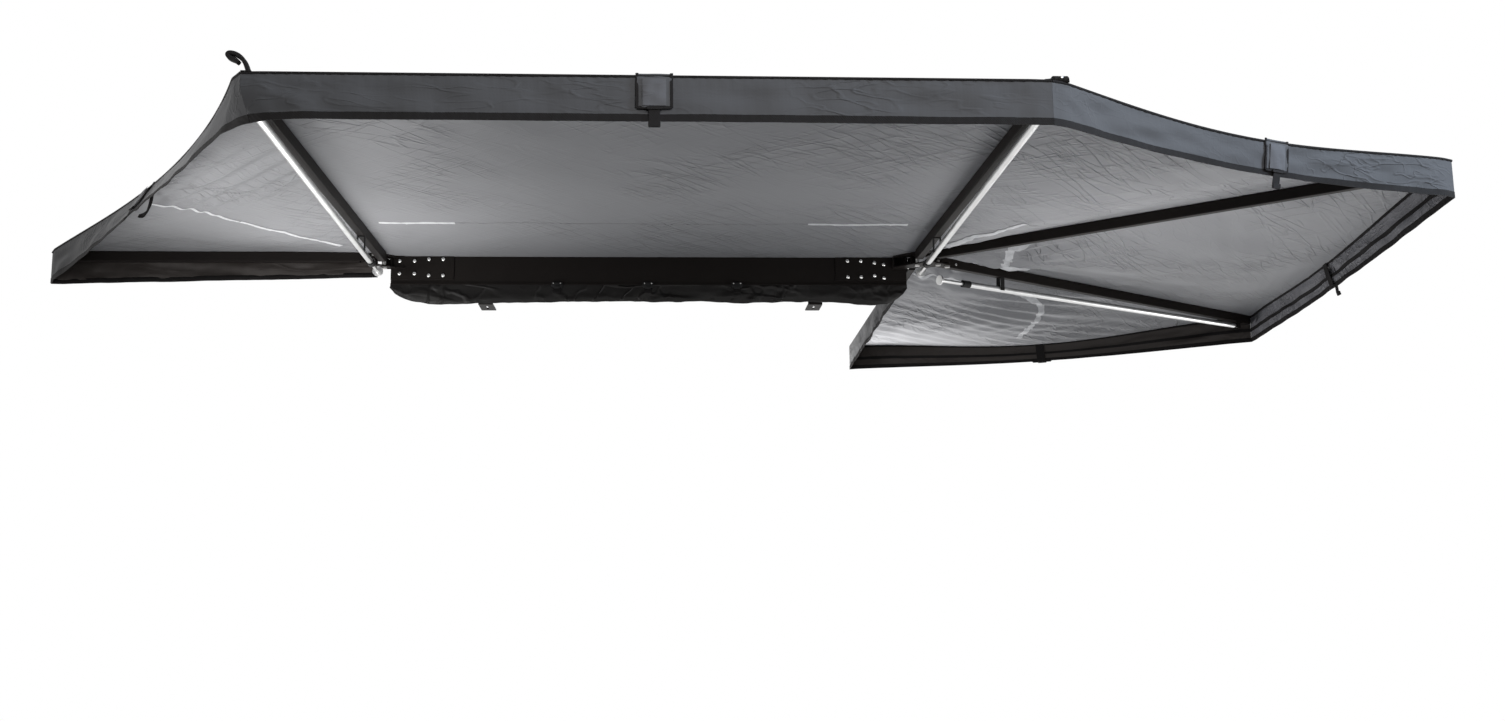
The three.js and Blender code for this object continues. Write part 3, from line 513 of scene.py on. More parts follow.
# top and hem: how deep the line bows inward and how far the bow leans to the edge's start; sag: of the top
# line; hemDrop: of the hem at mid-edge. The wrinkles: soft rolls, a fan of pulled folds from one corner,
# pleats that run in one direction, cloth bunched up near the hub, and radial folds that run out from it.
edges = {
    "front": makeEdge("front", 1, 0, frontHub, {
        "top": (0.088, 0.4), "hem": (0.02, 0.0), "sag": 0.014, "hemDrop": 0.136, "soft": 0.003,
        "fan": 0.012, "fanPitch": 0.05, "fanWidth": 0.22, "fanStart": 0.95, "fanFromEnd": True,
        "pleat": 0.001, "pleatTurn": 130, "pleatPitch": 0.2,
        "bunch": 0.002, "bunchCount": 24, "bunchReach": 0.2, "radial": 0.001, "radialCount": 26}),
    "centre": makeEdge("centre", 1, 2, rearHub, {
        "top": (0.0, 0.0), "hem": (0.0, 0.0), "sag": 0.0, "hemDrop": 0.148, "tabShare": 0.501}),
    "rear1": makeEdge("rear_1", 2, 3, rearHub, {
        "top": (0.075, 0.2), "hem": (0.09, 0.0), "sag": 0.034, "hemDrop": 0.155, "soft": 0.003,
        "fan": 0.003, "fanPitch": 0.09, "fanWidth": 0.45, "fanStart": 0.25, "fanFromEnd": False,
        "pleat": 0.0015, "pleatTurn": -60, "pleatPitch": 0.3, "tabShare": 0.553,
        "bunch": 0.004, "bunchCount": 24, "bunchReach": 0.16, "radial": 0.002, "radialCount": 24}),
    "rear2": makeEdge("rear_2", 3, 4, rearHub, {
        "top": (0.03, 0.3), "hem": (0.0, 0.0), "sag": 0.05, "hemDrop": 0.168, "soft": 0.003,
        "fan": 0.0025, "fanPitch": 0.06, "fanWidth": 0.3, "fanStart": 0.25, "fanFromEnd": True,
        "pleat": 0.0015, "pleatTurn": 10, "pleatPitch": 0.3,
        "bunch": 0.017, "bunchCount": 40, "bunchReach": 0.19, "radial": 0.0025, "radialCount": 26}),
    "rear3": makeEdge("rear_3", 4, 5, rearHub, {
        "top": (-0.02, 0.0), "hem": (-0.05, 0.0), "sag": 0.07, "hemDrop": 0.17, "soft": 0.004,
        "fan": 0.003, "fanPitch": 0.07, "fanWidth": 0.4, "fanStart": 0.25, "fanFromEnd": False,
        "pleat": 0.012, "pleatTurn": 25, "pleatPitch": 0.13,
        "bunch": 0.008, "bunchCount": 22, "bunchReach": 0.2, "radial": 0.001, "radialCount": 22}),
}

# What all wings' wrinkles share: sizes and reaches in metres, and how much each kind wavers
wrinkle = {"rollSize": 0.5, "small": 0.0011, "smallSize": 0.16, "waverSize": 0.9, "radialWaver": 1.8,
           "radialPatch": 0.6, "fanFromEdge": 0.06, "fanGrowth": 0.7, "fanFade": 0.14, "fanRoot": 0.08,
           "fanWaver": 0.9, "fanWaverSize": 1.1, "fanPatch": 0.8, "pleatWaver": 1.3, "bunchWaver": 1.5,
           "bunchWaverSize": 0.35, "bunchSmall": 0.4, "bunchSmallSize": 0.12, "bunchFade": 0.12,
           "besideArm": 0.022, "calmReach": 0.1, "bunchFromArm": 0.02, "bunchRise": 0.05}


def wingWrinkles(edge, plan, t, s):
    looks = edge["looks"]
    x, y = plan[..., 0], plan[..., 1]

    def noise(size, number):  # each use has its own number, and so its own draws
        return softNoise(x, y, size, 10 * edge["arms"][1] + number)

    fromHub = plan - edge["hub"]
    angle = np.arctan2(fromHub[..., 1], fromHub[..., 0])
    height = looks["soft"] * noise(wrinkle["rollSize"], 0) + wrinkle["small"] * noise(wrinkle["smallSize"], 7)
    radial = np.sin(angle * looks["radialCount"] + wrinkle["radialWaver"] * noise(wrinkle["waverSize"], 1))
    height += looks["radial"] * radial * smoothStep(s * 2.5) * (0.6 + 0.4 * noise(wrinkle["radialPatch"], 2))
    depth = (plan - edgePlan(edge, 0.0)) @ edge["inward"]
    along = (plan - edgePlan(edge, 0.0)) @ (edge["chord"] / edge["length"])
    fromCorner = edge["length"] - along if looks["fanFromEnd"] else along
    turn = depth / (wrinkle["fanRoot"] + np.maximum(fromCorner, 0))
    waver = wrinkle["fanWaver"] * noise(wrinkle["fanWaverSize"], 3)
    fan = np.sin(turn / looks["fanPitch"] * 2 * math.pi + waver)
    started = smoothStep((fromCorner - looks["fanStart"]) / wrinkle["fanGrowth"])
    inside = smoothStep((wrinkle["fanFade"] + looks["fanWidth"] - turn) / wrinkle["fanFade"])
    where = smoothStep(depth / wrinkle["fanFromEdge"]) * started * inside
    where = where * np.clip(0.75 + 0.35 * noise(wrinkle["fanPatch"], 4), 0.15, 1.1)
    height += looks["fan"] * fan * where
    heading = math.radians(looks["pleatTurn"])
    across = y * math.cos(heading) - x * math.sin(heading)
    waver = wrinkle["pleatWaver"] * noise(wrinkle["waverSize"], 8)
    pleats = np.sin(across / looks["pleatPitch"] * 2 * math.pi + waver)
    height += looks["pleat"] * pleats * np.clip(0.5 + 0.5 * noise(wrinkle["waverSize"], 9), 0, 1.2)
    fromArm = np.minimum(t, 1 - t) * edge["length"] * s  # calm over the arms and the outer edge, tight there
    height = height * smoothStep((fromArm - wrinkle["besideArm"]) / wrinkle["calmReach"]) * (1 - s ** 12)
    waver = wrinkle["bunchWaver"] * noise(wrinkle["bunchWaverSize"], 5)
    bunched = np.sin(angle * looks["bunchCount"] + waver)
    bunched += wrinkle["bunchSmall"] * noise(wrinkle["bunchSmallSize"], 6)
    bunched = bunched * np.exp(-((s - looks["bunchReach"]) / wrinkle["bunchFade"]) ** 2)
    calm = smoothStep((fromArm - wrinkle["bunchFromArm"]) / wrinkle["bunchRise"])
    return height + looks["bunch"] * (bunched * calm)


def wingSurface(edge, t, s):
    outer = edgePlan(edge, t)
    spoke = outer - edge["hub"]
    plan = edge["hub"] + spoke * s[..., None]
    full = np.linalg.norm(spoke, axis=-1)
    slope = np.maximum(0, full * s - canopy["hubFlat"]) / (full - canopy["hubFlat"])
    dip = canopy["sag"] * hollow(levelRamp(t)) * 4 * s * (1 - s)
    return raised(plan, roofTop - edgeDrop(edge, t) * slope - dip + wingWrinkles(edge, plan, t, s))


# One wing in two halves, so that each half folds with its own arm
def addWing(key):
    edge = edges[key]
    node = f"canopy_{edge['name']}"
    reach = np.linalg.norm(edgePlan(edge, 0.5) - edge["hub"])
    rows, columns = int(reach / canopy["step"]), int(edge["length"] / 2 / canopy["step"])
    s = canopy["apexShare"] + (1 - canopy["apexShare"]) * np.linspace(0, 1, rows) ** canopy["crowding"]
    for half in (0, 1):
        outer = wingSurface(edge, *np.meshgrid(np.linspace(0, 0.5, columns) + 0.5 * half, s))
        armIndex = edge["arms"][half]
        piece = clothPiece(f"{node}_cloth_{'ab'[half]}", outer, outer - [0, 0, canopy["thickness"]],
                           [outerCloth, silverCloth])
        gather(piece, armIndex)
        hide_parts(node)
    print("wing", key, rows, "x", columns)


for key in ("front", "rear1", "rear2", "rear3"):
    addWing(key)

# Centre panel: one surface, cut along two lines from the middle of its outer edge to the hubs
centreLooks = {"soft": 0.002, "softSize": 0.55, "corner": 0.0035, "cornerCount": 17, "cornerReach": 0.8,
               "cornerStart": 0.25, "cornerIn": (0.05, -0.1), "waver": 0.9, "waverSize": 0.9,
               "hubFolds": 0.002,
               # the wrinkles fade out towards the arms, the plate and the outer edge: gap and reach of each
               "calmArms": (0.03, 0.18), "calmPlate": (0.06, 0.3), "calmOuter": (0.0, 0.12),
               "backY": -0.008, "apexShare": 0.004, "keep": 0.006}


def centreHeight(x, y):
    left, right = corners[1], corners[2]
    t = np.clip((x - left[0]) / (right[0] - left[0]), 0, 1)
    r = np.clip((y - centreLooks["backY"]) / (left[1] - centreLooks["backY"]), 0, 1)
    z = roofTop - canopy["centreSag"] * hollow(t) * hollow(r)
    wrinkles = centreLooks["soft"] * softNoise(x, y, centreLooks["softSize"], 5)
    inX, inY = centreLooks["cornerIn"]
    roots = [(left[0] + inX, left[1] + inY), (right[0] - inX, right[1] + inY), (frontHub[0], 0.0),
             (rearHub[0], 0.0)]
    for i, (px, py) in enumerate(roots):  # folds spread from the two corners and the two hubs
        away = np.hypot(x - px, y - py)
        angle = np.arctan2(y - py, x - px)
        depth = centreLooks["corner"] if i < 2 else centreLooks["hubFolds"]
        fade = np.exp(-away / centreLooks["cornerReach"]) * smoothStep(away / centreLooks["cornerStart"])
        waver = centreLooks["waver"] * softNoise(x, y, centreLooks["waverSize"], 6 + i)
        wrinkles = wrinkles + depth * fade * np.sin(angle * centreLooks["cornerCount"] + i + waver)
    for away, name in ((np.minimum(x - left[0], right[0] - x), "calmArms"), (-y, "calmPlate"),
                       (y - left[1], "calmOuter")):
        gap, reach = centreLooks[name]
        wrinkles = wrinkles * smoothStep((away - gap) / reach)
    return z + wrinkles


def rideCentre(piece, key):  # parts a and b fold with arms 1 and 2, and c stays with the plate
    if key == "c":
        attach(piece, "base")
        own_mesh(piece)
    else:
        gather(piece, 1 if key == "a" else 2)


def addCentre():
    left, right = corners[1][:2], corners[2][:2]
    middle = (left + right) / 2
    backLeft, backRight = (np.array([hub[0], centreLooks["backY"]]) for hub in (frontHub, rearHub))
    triangles = {"a": (backLeft, left, middle, "arm_1"), "b": (backRight, middle, right, "arm_2"),
                 "c": (middle, backLeft, backRight, "backing_plate")}
    for key, (apex, first, second, carrier) in triangles.items():
        width = np.linalg.norm(second - first)
        rows = int(max(np.linalg.norm(first - apex), np.linalg.norm(second - apex)) / canopy["step"])
        gridT, gridS = np.meshgrid(np.linspace(0, 1, int(width / canopy["step"])),
                                   np.linspace(centreLooks["apexShare"], 1, rows))
        plan = apex + (first + (second - first) * gridT[..., None] - apex) * gridS[..., None]
        outer = raised(plan, centreHeight(plan[..., 0], plan[..., 1]))
        piece = clothPiece(f"canopy_centre_cloth_{key}", outer, outer - [0, 0, canopy["thickness"]],
                           [outerCloth, silverCloth])
        rideCentre(piece, key)
        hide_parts("canopy_centre")


addCentre()
print("canopy made")

# Valances: cloth strips that hang from the outer edges, each in two halves
valance = {
    "height": 0.148, "offset": 0.0006, "clear": 0.003, "thickness": 0.0012, "step": 0.013, "rows": 15,
    "fold": 0.006, "foldSpacing": 0.26, "foldPatch": 0.7, "pucker": 0.0017, "puckerSpacing": 0.036,
    "puckerWaver": 2.5, "puckerWaverSize": 0.4, "puckerFades": (0.18, 0.2), "puckerFrom": 0.06,
    "soft": 0.0036, "softSize": 0.2, "cornerFold": 0.0065, "cornerFolds": 13, "cornerWaverSize": 0.3,
    "cornerReach": 0.45, "cornerGap": 0.02, "cornerStart": 0.26, "calmReach": 0.08,
    "roundReach": 0.21, "roundDepth": 0.05, "roundFrom": 0.3,  # how the hem rounds the front centre corner
    "hemWidth": 0.024, "hemThickness": 0.0036, "hemOver": 0.02, "piping": 0.005, "pipingDown": 0.002,
    "kederShare": 0.56, "kederWidth": 0.018, "seamWidth": 0.013, "seamShare": 0.01,
    # how far the webbing's two faces stand out from the cloth's inner face
    "hemFaces": (-0.0012, 0.0024), "kederFaces": (-0.0042, -0.0002), "seamFaces": (-0.003, -0.0002),
}


# Top line, hem line and outward direction of a valance at shares t of its edge
def valanceFrame(edge, t):
    level = cadRoofTop - straightDrop(edge, t)
    hemZ = level - valance["height"] - (edge["looks"]["hemDrop"] - valance["height"]) * hollow(t) ** 0.8
    top = raised(edgePlan(edge, t), cadRoofTop - edgeDrop(edge, t))
    return top, raised(edgePlan(edge, t, "hem"), hemZ), np.array([*-edge["inward"], 0.0])


def valanceOut(edge, t, r):  # how far the cloth stands out from its flat lie
    along = t * edge["length"]

    def noise(stretch, size, number):
        return softNoise(along, r * stretch, size, 40 + edge["arms"][1] + number)

    folds = valance["fold"] * r ** 1.5 * hollow(along / valance["foldSpacing"] % 1)
    folds = folds * noise(0.2, valance["foldPatch"], 0)
    waver = valance["puckerWaver"] * noise(0.1, valance["puckerWaverSize"], 0)
    puckers = valance["pucker"] * np.sin(along * 2 * math.pi / valance["puckerSpacing"] + waver)
    stitched = sum(np.exp(-away / fade) * smoothStep(away / valance["puckerFrom"])  # along both sewn edges
                   for away, fade in zip((r, 1 - r), valance["puckerFades"]))
    rolls = valance["soft"] * noise(valance["height"] * 2.5, valance["softSize"], 1) * hollow(r) ** 0.5
    fans = 0.0
    for away in (along, edge["length"] - along):  # folds fan out from the two corners
        angle = np.arctan2(r * valance["height"], away + 0.001)
        swing = np.sin(angle * valance["cornerFolds"] + noise(0.3, valance["cornerWaverSize"], 2))
        start = smoothStep((away - valance["cornerGap"]) / valance["cornerStart"])
        fans = fans + swing * np.exp(-away / valance["cornerReach"]) * start * smoothStep(r * 2.5)
    fans = fans * valance["cornerFold"] * (1 - 0.6 * r ** 4)
    calm = smoothStep(np.minimum(t, 1 - t) * edge["length"] / valance["calmReach"])
    lift = valance["clear"] * calm  # keeps every fold on the outer side of the edge line
    return valance["offset"] + (folds + puckers * stitched + rolls + fans) * calm + lift


def valanceGrid(edge, t, r, lift=0.0):
    top, hem, outward = valanceFrame(edge, t)
    spot = top + (hem - top) * r[..., None] + outward * (valanceOut(edge, t, r) + lift)[..., None]
    if edge["arms"][0] == 1:  # both valances that meet at the front centre corner
        bisector = unit(edges["front"]["inward"] + edges["centre"]["inward"])
        away = np.clip(1 - t * edge["length"] / valance["roundReach"], 0, 1)
        low = np.clip((r - valance["roundFrom"]) / (1 - valance["roundFrom"]), 0, 1) ** 1.2
        spot = spot + np.array([*bisector, 0]) * (valance["roundDepth"] * away ** 2 * low)[..., None]
    return spot


# A strip of webbing sewn along a valance, from share low to share high of its height; it follows every fold
def edgeStrip(edge, t, low, high, inside, outside):
    grid = np.meshgrid(t, np.linspace(low, high, 4))
    return closedSheet(valanceGrid(edge, *grid, outside), valanceGrid(edge, *grid, inside)), 0


def addValance(key):
    edge = edges[key]
    node = f"valance_{edge['name']}"
    columns = int(edge["length"] / 2 / valance["step"])
    thick, high = valance["thickness"], valance["height"]
    for half, letter in enumerate("ab"):
        t = np.linspace(0, 0.5, columns) + 0.5 * half
        grid = np.meshgrid(t, np.linspace(0, 1, valance["rows"]))
        armIndex = edge["arms"][half]
        outer, inner = valanceGrid(edge, *grid, thick), valanceGrid(edge, *grid)
        cloth = clothPiece(f"{node}_cloth_{letter}", outer, inner,
                           [outerCloth, darkHemCloth if key == "rear3" else hemInnerCloth])
        gather(cloth, armIndex)
        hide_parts(node)
        hemTop = 1 + valance["hemOver"] - valance["hemWidth"] / high
        shapes = [edgeStrip(edge, t, hemTop, 1 + valance["hemOver"], *valance["hemFaces"])]
        if key != "centre":  # a sewn-in strip half-way up on the inside
            low, wide = valance["kederShare"], valance["kederWidth"] / high / 2
            shapes.append(edgeStrip(edge, t, low - wide, low + wide, *valance["kederFaces"]))
        low, wide = valance["seamShare"], valance["seamWidth"] / high
        shapes.append(edgeStrip(edge, t, low, low + wide, *valance["seamFaces"]))
        line = valanceGrid(edge, t, np.zeros_like(t), thick / 2) - [0, 0, valance["pipingDown"]]
        across = (*-edge["inward"], 0)
        shapes.append((sweptMesh(line, across, (0, 0, 1), roundProfile(valance["piping"], 8)), 0))
        trim = joinedPiece(f"{node}_trim_{letter}", shapes, [webbing])
        gather(trim, armIndex)


for key in edges:
    addValance(key)
print("valances made")

# Side hems: the first and last valances turn the corner and run back along their arms
sideHem = {"height": 0.112, "rows": 12, "step": 0.014, "frontEnd": -0.018, "rearEndY": 0.04, "offset": 0.002,
           "fold": 0.004, "foldSize": 0.24, "small": 0.0014, "smallSize": 0.07, "flare": 0.004,
           "calmReach": 0.06, "foldKeep": 0.12, "foldBeside": 0.0012}


def addSideHem(name, start, end, outward, drop, armIndex, node):
    length = np.linalg.norm(end - start)
    seed = 60 + armIndex

    def hang(k, r, lift):  # the cloth at shares k of its length and r of its height
        spot = start + (end - start) * k[..., None]
        height = valance["height"] + (sideHem["height"] - valance["height"]) * k
        along = k * length
        rolls = sideHem["fold"] * softNoise(along * 0.8, r * 0.5, sideHem["foldSize"], seed)
        small = sideHem["small"] * softNoise(along, r * 0.4, sideHem["smallSize"], seed + 1)
        folds = rolls * smoothStep(r / 0.35) + small * smoothStep(r / 0.2) + sideHem["flare"] * r
        calm = smoothStep(np.minimum(k, 1 - k) * length / sideHem["calmReach"])
        out = valance["offset"] + lift + sideHem["offset"] + folds * calm
        return raised(spot + outward * out[..., None], cadRoofTop - drop * (1 - k) - height * r)

    k = np.linspace(0, 1, int(length / sideHem["step"]))
    grid = np.meshgrid(k, np.linspace(0, 1, sideHem["rows"]))
    cloth = clothPiece(f"{name}_cloth", hang(*grid, valance["thickness"]), hang(*grid, 0.0),
                       [outerCloth, darkHemCloth])
    share = 1 - valance["hemWidth"] / 2 / valance["height"] * 0.6  # the hem's middle, a little over the edge
    middle = hang(k, np.full_like(k, share), valance["thickness"] / 2)
    profile = [(y, x) for x, y in stripProfile(valance["hemWidth"], valance["hemThickness"])]
    hem = addMesh(f"{name}_hem", *sweptMesh(middle, (*outward, 0), (0, 0, 1), profile), [webbing])
    for piece in (cloth, hem):
        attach(piece, arms[armIndex]["body"])
        if armIndex == 0:  # the folded front arm lies beside the next one
            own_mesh(piece)
    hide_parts(node)


addSideHem("side_hem_front", corners[0][:2],
           np.array([arms[0]["pivot"][0] - sideHem["frontEnd"], corners[0][1]]),
           np.array([0.0, 1.0]), 0.0, 0, "valance_front")
addSideHem("side_hem_rear", corners[5][:2], np.array([corners[5][0], sideHem["rearEndY"]]),
           np.array([-1.0, 0.0]), cadRoofTop - corners[5][2], 5, "valance_rear_3")
print("side hems made")

# Storage bag: a long trough of coated cloth that hangs from the plate's bottom lip and sags between its ends
bag = {
    "step": 0.02, "sides": 30, "thickness": 0.0018, "frontY": -0.0335, "backY": -0.006, "belly": 0.010,
    "fullDrop": 0.09, "topZ": -0.0705, "wrinkle": 0.0035, "wrinkleSize": 0.16, "smallSize": 0.07,
    "xShares": (-1.0, -0.994, -0.96, -0.9, -0.85, -0.7, 0.0, 0.7, 0.76, 0.86, 0.92, 0.945, 0.99, 1.0),
    "drops": (0.012, 0.032, 0.06, 0.084, 0.094, 0.088, 0.08, 0.082, 0.087, 0.097, 0.097, 0.085, 0.04, 0.016),
}


def bagGrid(lift):
    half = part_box("storage_bag")[1].x
    x = np.linspace(-half, half, int(2 * half / bag["step"]))
    gridK, gridX = np.meshgrid(np.linspace(0, 1, bag["sides"]), x)
    drop = np.interp(gridX / half, bag["xShares"], bag["drops"])
    turn = math.pi * gridK  # 0 is the front top edge, pi the back top edge
    middleY, halfY = (bag["frontY"] + bag["backY"]) / 2, (bag["backY"] - bag["frontY"]) / 2
    bulge = bag["belly"] * np.sin(turn) ** 2 * (drop / bag["fullDrop"])
    y = middleY - np.cos(turn) * (halfY + bulge)
    z = bag["topZ"] - drop * np.sin(turn) ** 0.75
    creases = bag["wrinkle"] * softNoise(gridX * 0.5, gridK * 0.35, bag["wrinkleSize"], 71) * np.sin(turn)
    creases += bag["wrinkle"] * 0.5 * softNoise(gridX, gridK * 0.3, bag["smallSize"], 72) * np.sin(turn)
    grid = np.stack([gridX, y, z], -1)
    normal = unit(np.cross(np.gradient(grid, axis=1), np.gradient(grid, axis=0)))
    if (normal[:, bag["sides"] // 2, 2]).mean() > 0:
        normal = -normal
    return grid + normal * (creases + lift - bag["thickness"])[..., None]


def addBag():
    outer = bagGrid(bag["thickness"])
    piece = clothPiece("storage_bag_cover", outer, bagGrid(0.0), [bagCloth])
    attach(piece, "base")
    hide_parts("storage_bag")
    girth = np.linalg.norm(np.diff(outer[len(outer) // 2], axis=0), axis=1).sum()


addBag()
print("storage bag made")

# Buckled straps on the plate's lip; the strap's line is given as depth in front of the lip and height
buckle = {"places": (-0.456, -0.017, 0.415), "front": -0.0352, "topZ": -0.058, "body": (0.052, 0.009, 0.026),
          "bodyEdge": 0.003, "latch": (0.0286, 0.005, 0.016), "latchEdge": 0.002, "latchDown": 0.012,
          "rivet": 0.0032, "rivetHeight": 0.002, "rivetSpacing": 0.034, "rivetUp": 0.007,
          "strapWidth": 0.038, "strapThickness": 0.002,
          "strapLine": ((0.007, -0.052), (-0.0005, -0.0622), (-0.002, -0.072), (-0.004, -0.09),
                        (-0.006, -0.106), (-0.002, -0.112))}


def addBuckles():
    front, depth = buckle["front"], buckle["body"][1]
    profile = stripProfile(buckle["strapWidth"], buckle["strapThickness"])
    for i, x in enumerate(buckle["places"]):
        z = buckle["topZ"] - buckle["body"][2] / 2
        path = [(x, front + y, height) for y, height in buckle["strapLine"]]
        shapes = [(sweptMesh(path, (1, 0, 0), (0, 1, 0), profile), 0),
                  (roundedBox(buckle["body"], (x, front - depth / 2, z), buckle["bodyEdge"]), 1),
                  (roundedBox(buckle["latch"], (x, front - depth - 0.001, z - buckle["latchDown"]),
                              buckle["latchEdge"]), 1)]
        for side in (-1, 1):
            spot = (x + side * buckle["rivetSpacing"] / 2, front - depth, z + buckle["rivetUp"])
            shapes.append((roundStud(buckle["rivet"], buckle["rivetHeight"], spot, (0, -1, 0), 12), 2))
        piece = joinedPiece(f"bag_buckle_{i + 1}", shapes, [webbing, nylon, zinc])
        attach(piece, "base")


addBuckles()

# Domed stainless heads over the plate's bolts, found from the foremost points of the bolt parts, and one
# rivet on the side of the fifth arm
studLooks = {"radius": 0.0082, "height": 0.0032, "spacing": 0.014, "rivetRadius": 0.0062,
             "rivetHeight": 0.0016, "rivetOut": 0.16, "rivetDown": 0.03}


def boltPlaces(name):
    points = meshPoints(nodes[name])
    front = points[points[:, 1] < points[:, 1].min() + 0.0004]
    places = []
    while len(front):
        near = np.linalg.norm(front - front[0], axis=1) < studLooks["spacing"]
        places.append(front[near].mean(0))
        front = front[~near]
    return places


def addStuds():
    for side in ("front", "rear"):
        shapes = [(roundStud(studLooks["radius"], studLooks["height"], place, (0, -1, 0)), 0)
                  for place in boltPlaces(f"{side}_bracket_bolts")]
        piece = joinedPiece(f"{side}_bolt_heads", shapes, [stainless])
        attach(piece, "base")
        print(side, "bolt heads:", len(shapes))


def addArmRivet():
    arm = arms[4]
    fromMiddle = (arm["pivot"] - arm["middle"]) @ arm["heading"] + studLooks["rivetOut"]
    place = arm["middle"] * [1, 1, 0] + arm["heading"] * fromMiddle - arm["left"] * armHalf
    place = place + [0, 0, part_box("arm_4")[1].z - studLooks["rivetDown"]]
    rivet = roundStud(studLooks["rivetRadius"], studLooks["rivetHeight"], place, -arm["left"])
    piece = joinedPiece("arm_4_rivet", [(rivet, 0)], [stainless])
    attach(piece, arm["body"])


addStuds()
addArmRivet()

# Covers at the plate's two ends: bare black plates that close the gap to the hinges, behind the arms' sweep
hubCover = {"front": -0.0335, "back": -0.030, "low": 0.006, "high": 0.0665, "reach": 0.046, "overlap": 0.003,
            "edge": 0.0015, "stud": (0.0045, 0.0018), "studUp": 0.02, "studIn": 0.012}


def addHubCovers():
    front, back, low, high = (hubCover[key] for key in ("front", "back", "low", "high"))
    for side, sign in (("front", -1), ("rear", 1)):
        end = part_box("backing_plate")[0 if sign < 0 else 1].x
        size = (hubCover["reach"], back - front, high - low)
        x = end + sign * (hubCover["reach"] / 2 - hubCover["overlap"])
        place = (x, (front + back) / 2, (high + low) / 2)
        shapes = [(roundedBox(size, place, hubCover["edge"]), 0)]
        for up in (-hubCover["studUp"], hubCover["studUp"]):
            spot = (x - sign * hubCover["studIn"], front, place[2] + up)
            shapes.append((roundStud(*hubCover["stud"], spot, (0, -1, 0), 14), 1))
        piece = joinedPiece(f"{side}_hinge_cover", shapes, [powderCoat, stainless])
        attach(piece, "base")


addHubCovers()

# Tabs at the middle of each outer edge: a cloth flap with a bound edge, a paler panel and a strap below.
# The webbing's lines are pairs of a depth below where they start and a lift off the valance.
tab = {"width": 0.110, "height": 0.115, "above": 0.008, "standOff": 0.0105, "thickness": 0.0016,
       "swell": 0.004, "tuck": 0.009, "tuckDepth": 0.02, "ripple": 0.0012, "rippleSize": 0.06,
       "binding": (0.010, 0.004), "bindingLift": 0.0008, "bindingTuck": -0.003,
       "panelWidth": 0.075, "panelHeight": 0.090, "panelDown": 0.012, "panelLift": 0.0045, "puff": 0.0035,
       "puffPower": 0.4, "panelRipple": 0.05,
       "strap": (0.036, 0.0024), "strapDrop": 0.066, "strapRoot": (-0.006, 0.003),
       "strapLine": ((0.2, 0.004), (0.45, 0.002), (0.7, 0.0), (1.0, 0.001)),  # shares of the drop and lifts
       "foldedEnd": ((0.039, 0.005), ((-0.018, 0.004), (-0.001, 0.0045))),
       "keeper": ((0.050, 0.004), ((-0.001, 0.006), (0.008, 0.008))),
       "sewnInside": ((0.05, 0.003), ((-0.002, -0.0165), (0.05, -0.0185), (0.115, -0.0165))),
       "lowest": -0.183,  # straps end above this height
       # loose strap ends: how far each reaches and swings, and the curve they share
       "loop": (0.002, 0.014), "loops": ((0.05, 0.055), (0.105, 0.03)), "loopTop": 0.03, "loopFall": 0.06,
       "loopBehind": 0.03, "loopTurns": (2.4, 2.6)}


